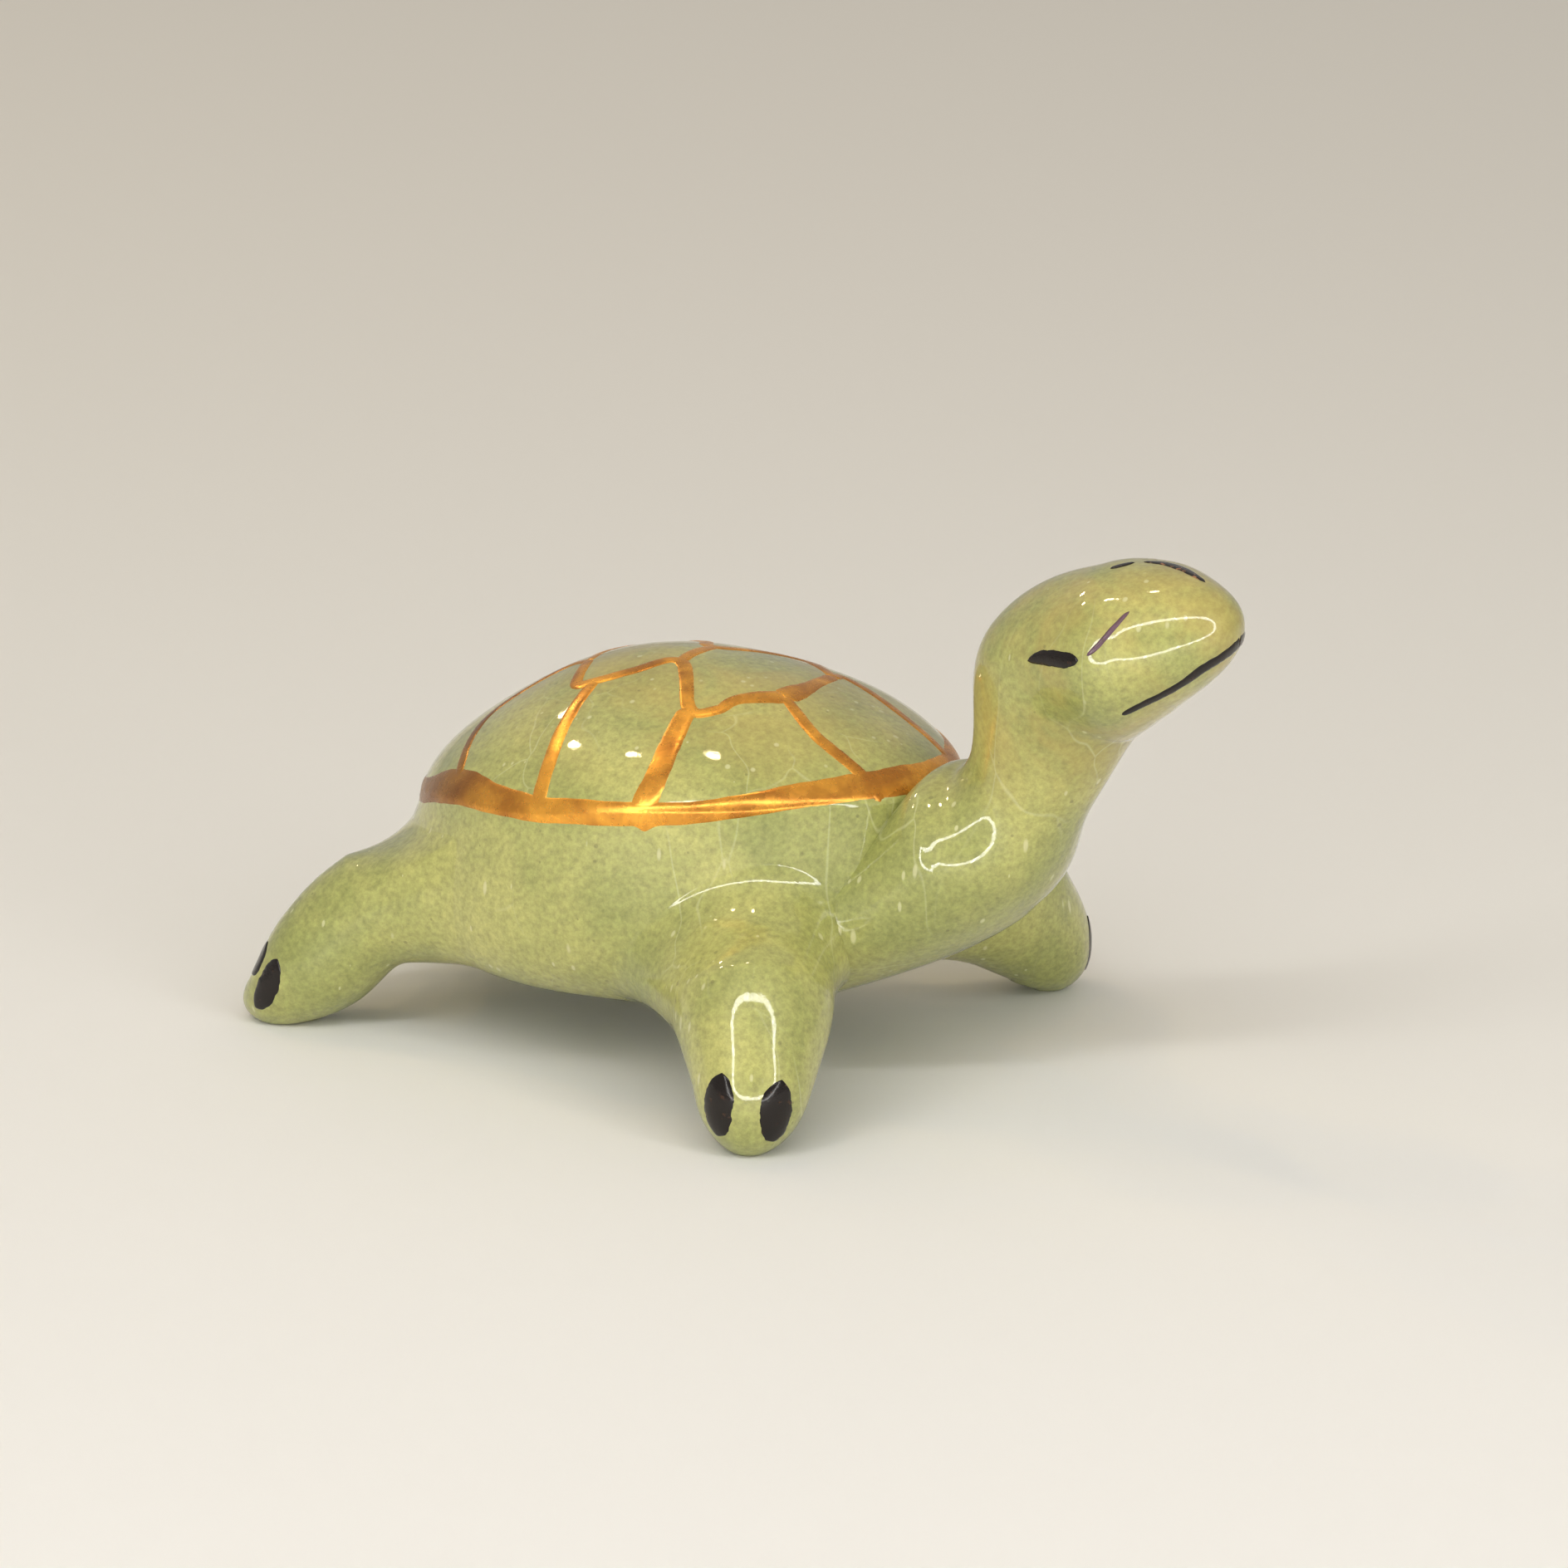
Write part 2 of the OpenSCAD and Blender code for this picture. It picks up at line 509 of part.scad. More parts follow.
module front_claw(i, side) color(enamel) trimmed() {
  limb_line(front_limb, front_claws[i], 7, claw_width, 1, front_ankle, side);
  front_leg_solid(side);
  below_table();
}
module rear_claw(i, side) color(enamel) trimmed() {
  limb_line(rear_limb, rear_claws[i], 7, claw_width * 0.75, 1, rear_ankle * 0.8, side);
  rear_leg_solid(side);
  below_table();
}
module claw_front_right_1() front_claw(0, 1);
module claw_front_right_2() front_claw(1, 1);
module claw_front_left_1() front_claw(0, -1);
module claw_front_left_2() front_claw(1, -1);
module claw_rear_right_1() rear_claw(0, 1);
module claw_rear_right_2() rear_claw(1, 1);
module claw_rear_left_1() rear_claw(0, -1);
module claw_rear_left_2() rear_claw(1, -1);

trunk();
carapace();
head_and_neck();
front_right_leg();
front_left_leg();
rear_right_leg();
rear_left_leg();
tail();
gold_rim_band();
gold_plate_line_right();
gold_plate_line_left();
gold_cross_line_front();
gold_cross_line_middle();
gold_cross_line_rear();
gold_rib_right_1();
gold_rib_right_2();
gold_rib_right_3();
gold_rib_right_4();
gold_rib_left_1();
gold_rib_left_2();
gold_rib_left_3();
gold_rib_left_4();
right_eye();
right_eye_corner();
left_eye();
left_eye_corner();
mouth_line_right();
mouth_line_left();
claw_front_right_1();
claw_front_right_2();
claw_front_left_1();
claw_front_left_2();
claw_rear_right_1();
claw_rear_right_2();
claw_rear_left_1();
claw_rear_left_2();
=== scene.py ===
import math

import bpy
import numpy as np
from mathutils import Matrix, Vector


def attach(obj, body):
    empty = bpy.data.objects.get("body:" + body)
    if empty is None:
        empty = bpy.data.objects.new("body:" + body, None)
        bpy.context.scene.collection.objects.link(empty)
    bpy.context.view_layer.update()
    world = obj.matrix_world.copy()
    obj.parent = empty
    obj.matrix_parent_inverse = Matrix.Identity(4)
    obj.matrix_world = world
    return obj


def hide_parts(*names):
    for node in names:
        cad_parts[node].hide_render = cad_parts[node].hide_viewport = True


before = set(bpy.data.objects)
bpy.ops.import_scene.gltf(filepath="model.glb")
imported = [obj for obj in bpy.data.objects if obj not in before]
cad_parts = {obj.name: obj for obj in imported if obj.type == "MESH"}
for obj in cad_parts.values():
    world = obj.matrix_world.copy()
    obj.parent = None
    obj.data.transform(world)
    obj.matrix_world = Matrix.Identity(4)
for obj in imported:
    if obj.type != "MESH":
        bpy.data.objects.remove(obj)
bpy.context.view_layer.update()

print("frame loaded:", len(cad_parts), "nodes")

mm = 0.001  # all shapes below are worked out in millimetres
midX = 5.95  # middle of the whole length, measured from the middle of the shell
ninety = math.pi / 2


# v divided by its own length
def unit(v):
    return v / np.maximum(np.linalg.norm(v, axis=-1, keepdims=True), 1e-12)


# Catmull-Rom curve through the rows of keys, s from 0 to 1 with equal steps per row:
# half of 2b + (c - a) f + (2a - 5b + 4c - e) f^2 + (3b - a - 3c + e) f^3
def curveThrough(keys, s):
    keys = np.asarray(keys, float)
    keys = keys[:, None] if keys.ndim == 1 else keys
    n = len(keys) - 1
    rows = np.vstack([2 * keys[0] - keys[1], keys, 2 * keys[-1] - keys[-2]])
    q = np.clip(s, 0, 1) * n
    i = np.minimum(np.floor(q).astype(int), n - 1)
    f = (q - i)[..., None]
    a, b, c, e = rows[i], rows[i + 1], rows[i + 2], rows[i + 3]
    return 0.5 * (2 * b + (c - a) * f + (2 * a - 5 * b + 4 * c - e) * f**2 + (3 * b - a - 3 * c + e) * f**3)


# A slow wander between -1 and 1: the mean of four sines of falling wavelength and a seeded start
def wander(s, length, seed):
    rng = np.random.default_rng(seed)
    waves = [(1.0, 1.0), (1.7, 0.8), (2.9, 0.6), (5.3, 0.4)]
    total = sum(size * np.sin(2 * math.pi * (s * speed / length + rng.random())) for speed, size in waves)
    return total / sum(size for speed, size in waves)


handMade = {"size": 0.055, "shortest": 6.0, "longest": 12.0, "waves": 6, "seed": 11}


# What a hand leaves in soft clay: every point moves by a sum of slow waves, each a sine of the distance along
# one random direction that pushes in another
def byHand(p):
    rng = np.random.default_rng(handMade["seed"])
    moved = p.copy()
    for k in range(handMade["waves"]):
        way, push = unit(rng.normal(size=3)), unit(rng.normal(size=3))
        length = rng.uniform(handMade["shortest"], handMade["longest"])
        wave = np.sin(2 * math.pi * (p @ way) / length + rng.uniform(0, 6.28))
        moved += handMade["size"] * wave[..., None] * push
    still = np.clip(p[..., 2] / 3, 0, 1)  # the soles stay flat on the table
    moved[..., 2] = p[..., 2] + (moved[..., 2] - p[..., 2]) * still
    return moved


# Quads between the rows of a grid of points, closed round each row, and with along also from the last row to
# the first. first and last are the numbers of two pole points, each joined to its end row by a fan
def gridFaces(rows, columns, along=False, first=None, last=None):
    index = np.arange(rows * columns).reshape(rows, columns)
    upper = index if along else index[:-1]
    lower = np.roll(index, -1, 0) if along else index[1:]
    quads = [upper, np.roll(upper, -1, 1), np.roll(lower, -1, 1), lower]
    faces = np.stack(quads, -1).reshape(-1, 4).tolist()
    if first is not None:
        faces += np.stack([np.full(columns, first), np.roll(index[0], -1), index[0]], -1).tolist()
    if last is not None:
        faces += np.stack([np.full(columns, last), index[-1], np.roll(index[-1], -1)], -1).tolist()
    return faces


creaseAngle = 50  # degrees between two faces from which their edge is shaded sharp


# A mesh object from millimetre points; its faces are turned so that its volume is positive
def makePiece(name, node, points, faces, material):
    points = byHand(np.asarray(points, float))
    points[:, 2] = np.maximum(points[:, 2], 0)
    fan = np.array([[f[0], f[i], f[i + 1]] for f in faces for i in range(1, len(f) - 1)])
    corner = points[fan]
    if np.einsum("ij,ij->i", corner[:, 0], np.cross(corner[:, 1], corner[:, 2])).sum() < 0:
        faces = [f[::-1] for f in faces]
    mesh = bpy.data.meshes.new(name)
    mesh.from_pydata((points - [midX, 0, 0]) * mm, [], faces)
    mesh.shade_smooth()
    mesh.set_sharp_from_angle(angle=math.radians(creaseAngle))
    mesh.materials.append(material)
    piece = bpy.data.objects.new(name, mesh)
    bpy.context.scene.collection.objects.link(piece)
    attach(piece, "root")
    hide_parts(node)
    return piece


# Inputs by name or number: linked where the value is a socket, and set where it is a plain value
def fillInputs(tree, node, inputs):
    for name, value in inputs.items():
        if isinstance(value, bpy.types.NodeSocket):
            tree.links.new(value, node.inputs[name])
        else:
            node.inputs[name].default_value = value
    return node


def addNode(tree, kind, inputs=None, **settings):
    node = tree.nodes.new("ShaderNode" + kind)
    for name, value in settings.items():
        setattr(node, name, value)
    return fillInputs(tree, node, inputs or {})


def mathNode(tree, operation, a, b):
    return addNode(tree, "Math", {0: a, 1: b}, operation=operation).outputs[0]


# low to high becomes first to last, in a straight line unless way names another
def mapRange(tree, value, low, high, first=0.0, last=1.0, way="LINEAR"):
    return addNode(tree, "MapRange", {0: value, 1: low, 2: high, 3: first, 4: last},
                   interpolation_type=way).outputs[0]


# low to high becomes 0 to 1, with a soft start and end
def softStep(tree, value, low, high):
    return mapRange(tree, value, low, high, way="SMOOTHSTEP")


def blendColours(tree, amount, a, b, kind="MIX"):
    return addNode(tree, "Mix", {0: amount, 6: a, 7: b}, data_type="RGBA", blend_type=kind).outputs[2]


def noiseOf(tree, vector, scale, detail=3.0, rough=0.55, twist=0.0):
    inputs = {"Vector": vector, "Scale": scale, "Detail": detail, "Roughness": rough, "Distortion": twist}
    return addNode(tree, "TexNoise", inputs).outputs[0]


def newGroup(name, inputs, outputs):
    group = bpy.data.node_groups.new(name, "ShaderNodeTree")
    for label, kind, value in inputs:
        socket = group.interface.new_socket(label, in_out="INPUT", socket_type="NodeSocket" + kind)
        if value is not None:
            socket.default_value = value
    for label, kind in outputs:
        group.interface.new_socket(label, in_out="OUTPUT", socket_type="NodeSocket" + kind)
    return group, group.nodes.new("NodeGroupInput"), group.nodes.new("NodeGroupOutput")


def useGroup(tree, group, inputs):
    return addNode(tree, "Group", inputs, node_tree=group)


def newMaterial(name):
    material = bpy.data.materials.new(name)
    material.use_nodes = True
    tree = material.node_tree
    return material, tree, tree.nodes["Principled BSDF"]


# Object coordinates in millimetres
def inMillimetres(tree):
    place = addNode(tree, "TexCoord")
    return addNode(tree, "Mapping", {"Vector": place.outputs["Object"],
                                     "Scale": (1000, 1000, 1000)}).outputs[0]


# Cloudy patches of one colour in another, then fine mottling that lightens and darkens them
def makeMottle():
    group, start, end = newGroup(
        "glaze mottle",
        [("Place", "Vector", None), ("Thick", "Color", (0.2, 0.2, 0.06, 1)),
         ("Thin", "Color", (0.4, 0.4, 0.16, 1)), ("Patch scale", "Float", 0.14), ("Grain", "Float", 0.3)],
        [("Colour", "Color")])
    place = start.outputs["Place"]
    patches = softStep(group, noiseOf(group, place, start.outputs["Patch scale"], 4, 0.6, 0.4), 0.35, 0.68)
    colour = blendColours(group, patches, start.outputs["Thick"], start.outputs["Thin"])
    fine = noiseOf(group, place, 3.1, 5, 0.7)
    shade = mapRange(group, fine, 0.3, 0.7, 0.6, 1.36)
    grey = addNode(group, "CombineColor", {0: shade, 1: shade, 2: shade}).outputs[0]
    shaded = blendColours(group, 1.0, colour, grey, "MULTIPLY")
    mottled = blendColours(group, start.outputs["Grain"], colour, shaded)
    group.links.new(mottled, end.inputs["Colour"])
    return group


# Small round specks: the middle of some cells of a Voronoi pattern. Each cell's colour holds its random
# numbers: the first chooses the cell, the second sets the size of its speck
def makeSpecks():
    group, start, end = newGroup(
        "glaze specks",
        [("Place", "Vector", None), ("Scale", "Float", 1.0), ("Size", "Float", 0.2)],
        [("Mask", "Float")])
    cells = addNode(group, "TexVoronoi", {"Vector": start.outputs["Place"],
                                          "Scale": start.outputs["Scale"]})
    draws = addNode(group, "SeparateColor", {0: cells.outputs["Color"]}).outputs
    chosen = mathNode(group, "GREATER_THAN", draws[0], 0.62)
    size = mathNode(group, "MULTIPLY", start.outputs["Size"], draws[1])
    inside = softStep(group, cells.outputs["Distance"], size, mathNode(group, "MULTIPLY", size, 0.5))
    group.links.new(mathNode(group, "MULTIPLY", inside, chosen), end.inputs["Mask"])
    return group


# Crackle: the thin borders of large warped cells, which fade in and out
def makeCrackle():
    group, start, end = newGroup(
        "glaze crackle",
        [("Place", "Vector", None), ("Scale", "Float", 0.2), ("Width", "Float", 0.012),
         ("Share", "Float", 0.5)],
        [("Mask", "Float")])
    place = start.outputs["Place"]
    warp = addNode(group, "TexNoise", {"Vector": place, "Scale": 0.22, "Detail": 2.0}).outputs["Color"]
    bent = addNode(group, "VectorMath", {0: warp, 1: (4.0, 4.0, 4.0), 2: place},
                   operation="MULTIPLY_ADD").outputs[0]
    cells = addNode(group, "TexVoronoi", {"Vector": bent, "Scale": start.outputs["Scale"]},
                    feature="DISTANCE_TO_EDGE").outputs[0]
    line = mapRange(group, cells, start.outputs["Width"], 0.0)
    least = mathNode(group, "SUBTRACT", 0.62, mathNode(group, "MULTIPLY", start.outputs["Share"], 0.3))
    shown = softStep(group, noiseOf(group, place, 0.16, 2), least, 0.66)
    group.links.new(mathNode(group, "MULTIPLY", line, shown), end.inputs["Mask"])
    return group


mottle, specks, crackle = makeMottle(), makeSpecks(), makeCrackle()

glaze = {
    # the warm colour, with the heights and the share below, is painted warm light on the high parts, not a
    # colour of the glaze
    "thick": (0.27, 0.285, 0.08, 1), "thin": (0.42, 0.405, 0.125, 1), "paintedWarmLightColour": (0.55, 0.34, 0.08, 1),
    "line": (0.62, 0.62, 0.36, 1), "dark": (0.10, 0.085, 0.03, 1), "pale": (0.62, 0.60, 0.34, 1),
    "patchScale": 0.13, "grain": 0.7, "paintedWarmLightHeights": (13.5, 19.0), "paintedWarmLight": 0.3,
    "crackle": {"Scale": 0.26, "Width": 0.016, "Share": 0.45},
    "darkSpecks": {"Scale": 1.3, "Size": 0.2}, "paleSpecks": {"Scale": 1.7, "Size": 0.3},
    "upright": {"Scale": (1.0, 1.0, 0.34), "Rotation": (0.2, 0.1, 0.0)},  # draws patterns out in height
    "pitDepth": 0.00002, "roughness": (0.34, 0.5),
}


# Celadon over pale clay: cloudy green with painted warm light on the high parts, such as the top of the dome,
# then crackle lines and dark and pale specks, each blended in by its own share, all under a clear coat
def makeGlaze():
    material, tree, shader = newMaterial("celadon glaze")
    place = inMillimetres(tree)
    base = useGroup(tree, mottle, {"Place": place, "Thick": glaze["thick"], "Thin": glaze["thin"],
                                   "Patch scale": glaze["patchScale"], "Grain": glaze["grain"]})
    height = addNode(tree, "SeparateXYZ", {0: place}).outputs[2]
    # Painted warm light: above a height the colour turns warmer in cloudy patches, where warm light falls on
    # the top
    cloud = softStep(tree, noiseOf(tree, place, 0.2, 3, 0.6, 0.5), 0.36, 0.62)
    paintedWarmLight = mathNode(tree, "MULTIPLY", softStep(tree, height, *glaze["paintedWarmLightHeights"]), cloud)
    paintedWarmLight = mathNode(tree, "MULTIPLY", paintedWarmLight, glaze["paintedWarmLight"])
    colour = blendColours(tree, paintedWarmLight, base.outputs["Colour"], glaze["paintedWarmLightColour"])
    upright = addNode(tree, "Mapping", {"Vector": place, **glaze["upright"]}).outputs[0]
    layers = [(crackle, upright, "crackle", 0.34, "line"), (specks, place, "darkSpecks", 0.4, "dark"),
              (specks, upright, "paleSpecks", 0.6, "pale")]
    for group, where, sizes, share, paint in layers:
        mask = useGroup(tree, group, {"Place": where, **glaze[sizes]}).outputs[0]
        colour = blendColours(tree, mathNode(tree, "MULTIPLY", mask, share), colour, glaze[paint])
    pits = noiseOf(tree, place, 2.6, 3)
    bump = addNode(tree, "Bump", {"Strength": 0.2, "Distance": glaze["pitDepth"], "Height": pits}).outputs[0]
    rough = mapRange(tree, pits, 0.3, 0.7, *glaze["roughness"])
    fillInputs(tree, shader, {"Base Color": colour, "Normal": bump, "Coat Normal": bump, "Roughness": rough})
    shader.inputs["Coat Weight"].default_value = 1.0
    shader.inputs["Coat Roughness"].default_value = 0.04
    shader.inputs["Coat IOR"].default_value = 1.5
    shader.inputs["Specular IOR Level"].default_value = 0.35
    return material


gold = {
    "bright": (0.98, 0.45, 0.06, 1), "deep": (0.52, 0.2, 0.03, 1), "brown": (0.13, 0.05, 0.02, 1),
    "patchScale": 0.34, "grain": 0.25, "brownFrom": -8.0, "brownTo": -16.0, "brownShare": 0.75,
    "rippleDepth": 0.00006, "roughness": (0.2, 0.34),
}


# Brushed-on lustre: a coppery metal, blotchy in colour and shine, browner at the back of the shell, with a
# faint ripple from the brush
def makeGold():
    material, tree, shader = newMaterial("gold lustre")
    place = inMillimetres(tree)
    base = useGroup(tree, mottle, {"Place": place, "Thick": gold["deep"], "Thin": gold["bright"],
                                   "Patch scale": gold["patchScale"], "Grain": gold["grain"]})
    length = addNode(tree, "SeparateXYZ", {0: place}).outputs[0]
    back = mathNode(tree, "MULTIPLY", softStep(tree, length, gold["brownFrom"], gold["brownTo"]),
                    gold["brownShare"])
    colour = blendColours(tree, back, base.outputs["Colour"], gold["brown"])
    ripple = noiseOf(tree, place, 1.3, 4, 0.6)
    rough = mapRange(tree, ripple, 0.3, 0.7, *gold["roughness"])
    bump = addNode(tree, "Bump", {"Strength": 0.12, "Distance": gold["rippleDepth"],
                                  "Height": ripple}).outputs[0]
    fillInputs(tree, shader, {"Base Color": colour, "Normal": bump, "Roughness": rough})
    shader.inputs["Metallic"].default_value = 0.7
    return material


enamel = {
    # the violet colour is a painted highlight: black paint with a lamp's shine on it
    "black": (0.008, 0.005, 0.004, 1), "brown": (0.055, 0.022, 0.008, 1), "paintedVioletHighlight": (0.13, 0.07, 0.10, 1),
    # the copper colour is a painted sheen: a lamp's warm shine on the left eye's black paint
    "paintedCopperSheen": (0.30, 0.13, 0.06, 1), "brushDepth": 0.00008, "roughness": (0.2, 0.45),
}


# Black enamel, glossy, and browner where the brush left it thin; low and high bound that in the noise.
# The violet enamel's main colour is a painted highlight, and the copper patches are a painted sheen
def makeEnamel(name, dark, thin, low, high):
    material, tree, shader = newMaterial(name)
    place = inMillimetres(tree)
    cloud = softStep(tree, noiseOf(tree, place, 2.4, 5, 0.65), low, high)
    colour = blendColours(tree, cloud, dark, thin)
    rough = mapRange(tree, cloud, 0.0, 1.0, *enamel["roughness"])
    bump = addNode(tree, "Bump", {"Strength": 0.2, "Distance": enamel["brushDepth"],
                                  "Height": noiseOf(tree, place, 3.0, 4)}).outputs[0]
    fillInputs(tree, shader, {"Base Color": colour, "Normal": bump, "Roughness": rough})
    shader.inputs["Specular IOR Level"].default_value = 0.3
    shader.inputs["Coat Weight"].default_value = 0.22
    shader.inputs["Coat Roughness"].default_value = 0.05
    return material


celadonGlaze, goldLustre = makeGlaze(), makeGold()
blackEnamel = makeEnamel("black enamel", enamel["black"], enamel["brown"], 0.55, 0.75)
# Painted highlight: this enamel is violet, the shine of a lamp on black paint put into its colour
paintedHighlightEnamel = makeEnamel("enamel with painted violet highlight", enamel["paintedVioletHighlight"], enamel["brown"], 0.4, 0.8)
# Painted sheen: black enamel with copper patches, the warm shine of a lamp put into its colour
paintedSheenEnamel = makeEnamel("black enamel with painted copper sheen", enamel["black"], enamel["paintedCopperSheen"], 0.55, 0.66)
print("materials made")

shell = {
    "length": 27.4, "width": 21.6, "rimHeight": 12.8, "rimTilt": 8.0, "sideRise": 0.7, "apexHeight": 19.1,
    "bellyClearance": 2.4, "bellySetback": 1.7, "wall": 2.2, "ventDiameter": 1.8,
    "lipForward": 0.9, "lipDrop": 0.6, "domeSpread": 1.2, "domeRound": 1.4,
    "trunkSpread": 0.61, "trunkRound": 0.7, "trunkBulge": 0.13,
    "columns": 256, "domeRows": 60, "trunkRows": 64,
}
halfLength, halfWidth = shell["length"] / 2, shell["width"] / 2
frontRimZ = shell["rimHeight"] + halfLength * math.tan(math.radians(shell["rimTilt"]))


# The rim is an oval that climbs to the front by its tilt and to the sides by the side rise times sin^2; over
# the neck it has a lip, forward and down by a share that fades as cos^12 of half the angle
def rimAt(u, inset=0.0):
    x, y = (halfLength - inset) * np.cos(u), (halfWidth - inset) * np.sin(u)
    lip = np.cos(np.asarray(u) / 2) ** 12
    z = shell["rimHeight"] + x * math.tan(math.radians(shell["rimTilt"])) + shell["sideRise"] * np.sin(u) ** 2
    return np.stack([x + shell["lipForward"] * lip, y, z - shell["lipDrop"] * lip], -1)


# Skin of the body: t 0 on the rim, -1 at the top, 1 under the belly. The oval shrinks by a power of cos
# (plus a bulge below the rim) while it moves to the pole by a power of sin
def bodyAt(u, t, inset=0.0):
    u, t = np.broadcast_arrays(u, t)
    c, s, up = np.maximum(np.cos(ninety * t), 0), np.abs(np.sin(ninety * t)), t < 0
    rim = rimAt(u, inset)
    spread = np.where(up, c ** shell["domeSpread"],
                      c ** shell["trunkSpread"] + shell["trunkBulge"] * np.sin(math.pi * np.abs(t)))
    rise = np.where(up, s ** shell["domeRound"], s ** shell["trunkRound"])
    pole = np.where(up, shell["apexHeight"] - inset, shell["bellyClearance"] + inset)
    x = rim[..., 0] * spread - np.where(up, 0, shell["bellySetback"] * rise)
    return np.stack([x, rim[..., 1] * spread, rim[..., 2] + (pole - rim[..., 2]) * rise], -1)


# Outward normal of the skin, from small steps of both parameters
def bodyNormal(u, t):
    along = bodyAt(u + 0.01, t) - bodyAt(u - 0.01, t)
    down = bodyAt(u, t + 0.006) - bodyAt(u, t - 0.006)
    return unit(np.cross(down, along))


turn = np.arange(shell["columns"]) / shell["columns"] * 2 * math.pi


# Dome: rows from the inside of the top down to the rim, then up the outside
def makeCarapace():
    rows, columns = shell["domeRows"], shell["columns"]
    step = np.linspace(0, 1, rows, endpoint=False)
    t = -(1 - (1 - step**0.71) ** 0.83)  # spaces the rows about evenly on the skin
    outside = bodyAt(turn[None, :], t[:, None])
    inside = bodyAt(turn[None, :], -np.linspace(0, 1, 14, endpoint=False)[::-1, None], shell["wall"])
    grid = np.concatenate([inside, outside])
    poles = np.stack([bodyAt(0.0, -1.0, shell["wall"]), bodyAt(0.0, -1.0)])
    count = grid.shape[0] * columns
    faces = gridFaces(grid.shape[0], columns, first=count, last=count + 1)
    return makePiece("carapaceShell", "carapace", np.vstack([grid.reshape(-1, 3), poles]), faces,
                     celadonGlaze)


# Trunk: down the outside to the small round vent, up through it, and back up the inside to the rim
def makeTrunk():
    rows, columns = shell["trunkRows"], shell["columns"]
    step = np.linspace(0, 0.93, rows)
    t = 1 - (1 - step**1.43) ** 1.64  # as on the dome
    outside = bodyAt(turn[None, :], t[:, None])
    radius, z = shell["ventDiameter"] / 2, shell["bellyClearance"]

    def ventRing(r, height):  # a circle about the vent, at one height
        return np.stack([r * np.cos(turn) - shell["bellySetback"], r * np.sin(turn),
                         np.full(columns, height)], -1)[None]

    boreRows = [(0.25, 0.0), (0.08, 0.03), (0.0, 0.14), (0.0, 1.1), (0.0, shell["wall"])]  # wider by, up by
    bore = [ventRing(radius + wider, z + up) for wider, up in boreRows]
    toVent = [outside[-1:] * (1 - k) + bore[0] * k for k in (0.3, 0.6, 0.85)]
    inside = bodyAt(turn[None, :], np.linspace(0, 0.97, 16)[::-1, None], shell["wall"])
    grid = np.concatenate([outside, *toVent, *bore, inside])
    faces = gridFaces(grid.shape[0], columns, along=True)
    return makePiece("trunkBody", "trunk", grid.reshape(-1, 3), faces, celadonGlaze)


# Shared by all limbs: the share of the spine over which the direction is averaged, how far the fillet ends
# under the skin, the least t of a root, which keeps it below the rim, and the depth of the closing point
limbs = {"ease": 0.08, "sunk": 0.012, "belowRim": 0.035, "rootDepth": 1.2}


# A limb is a tube about a curved spine: spine + side * width * cos(phi) + down * height * sin(phi). Its half
# sizes are interpolated as squares and reach 0 at the tip, which makes a smooth round end
def limbAt(limb, s, phi):
    s, phi = np.broadcast_arrays(s, phi)
    ahead = np.minimum(s + limbs["ease"], 1)
    way = unit(curveThrough(limb["spine"], ahead) - curveThrough(limb["spine"], ahead - 2 * limbs["ease"]))
    reference = np.asarray(limb["side"], float)
    side = unit(reference - way * (way @ reference)[..., None])
    down = np.cross(way, side)
    roll = np.radians(curveThrough(limb["rolls"], s))
    side, down = side * np.cos(roll) + down * np.sin(roll), down * np.cos(roll) - side * np.sin(roll)
    half = np.sqrt(np.maximum(curveThrough(np.asarray(limb["sizes"], float) ** 2, s), 0))
    wide, tall = half[..., :1] * np.cos(phi)[..., None], half[..., 1:] * np.sin(phi)[..., None]
    return curveThrough(limb["spine"], s) + side * wide + down * tall


# The root: an oval on the body's skin, as shifts of the body's two parameters, one pair for each angle phi
def limbRoot(limb, phi):
    u, t, tiny = math.radians(limb["rootU"]), limb["rootT"], 0.002
    here = bodyAt(u, t)
    a, b = (bodyAt(u + tiny, t) - here) / tiny, (bodyAt(u, t + tiny) - here) / tiny
    centre = (limbAt(limb, limb["start"], 0.0) + limbAt(limb, limb["start"], math.pi)) / 2
    way = unit(limbAt(limb, limb["start"], phi) - centre)
    share = np.linalg.solve(np.array([[a @ a, a @ b], [a @ b, b @ b]]), np.stack([way @ a, way @ b]))
    share = share * np.array([[np.linalg.norm(a)], [np.linalg.norm(b)]])
    share /= np.linalg.norm(share, axis=0)
    wide, high, low = limb["root"]
    du = share[0] * wide / np.linalg.norm(a)
    dt = share[1] * np.where(share[1] < 0, high, low) / np.linalg.norm(b)
    return du, dt


# The fillet: the tube runs on straight into the body while the skin spreads out to the root, and a point
# passes from one to the other by 6f^5 - 15f^4 + 10f^3, so that both ends join without a step in curvature
def filletRows(limb, steps, phi):
    du, dt = limbRoot(limb, phi)
    u, t = math.radians(limb["rootU"]), limb["rootT"]
    dt = np.maximum(dt, limbs["belowRim"] - t)
    start = limbAt(limb, limb["start"], phi)
    out = unit(start - limbAt(limb, limb["start"] + 0.05, phi))
    reach = np.linalg.norm(bodyAt(u + du, t + dt) - start, axis=-1, keepdims=True)
    f = steps[:, None]
    share = limb["spreadFrom"] + (1 - limb["spreadFrom"]) * f
    across, along = u + du * share, t + dt * share
    skin = bodyAt(across, along) - bodyNormal(across, along) * limbs["sunk"] * f[..., None]
    inner = start + out * reach * limb["inward"] * f[..., None]
    passed = (f**3 * (6 * f**2 - 15 * f + 10))[..., None]
    return inner * (1 - passed) + skin * passed


def mirrored(p, side):  # the left limb is the right one with y turned round
    return p * np.array([1, side, 1])


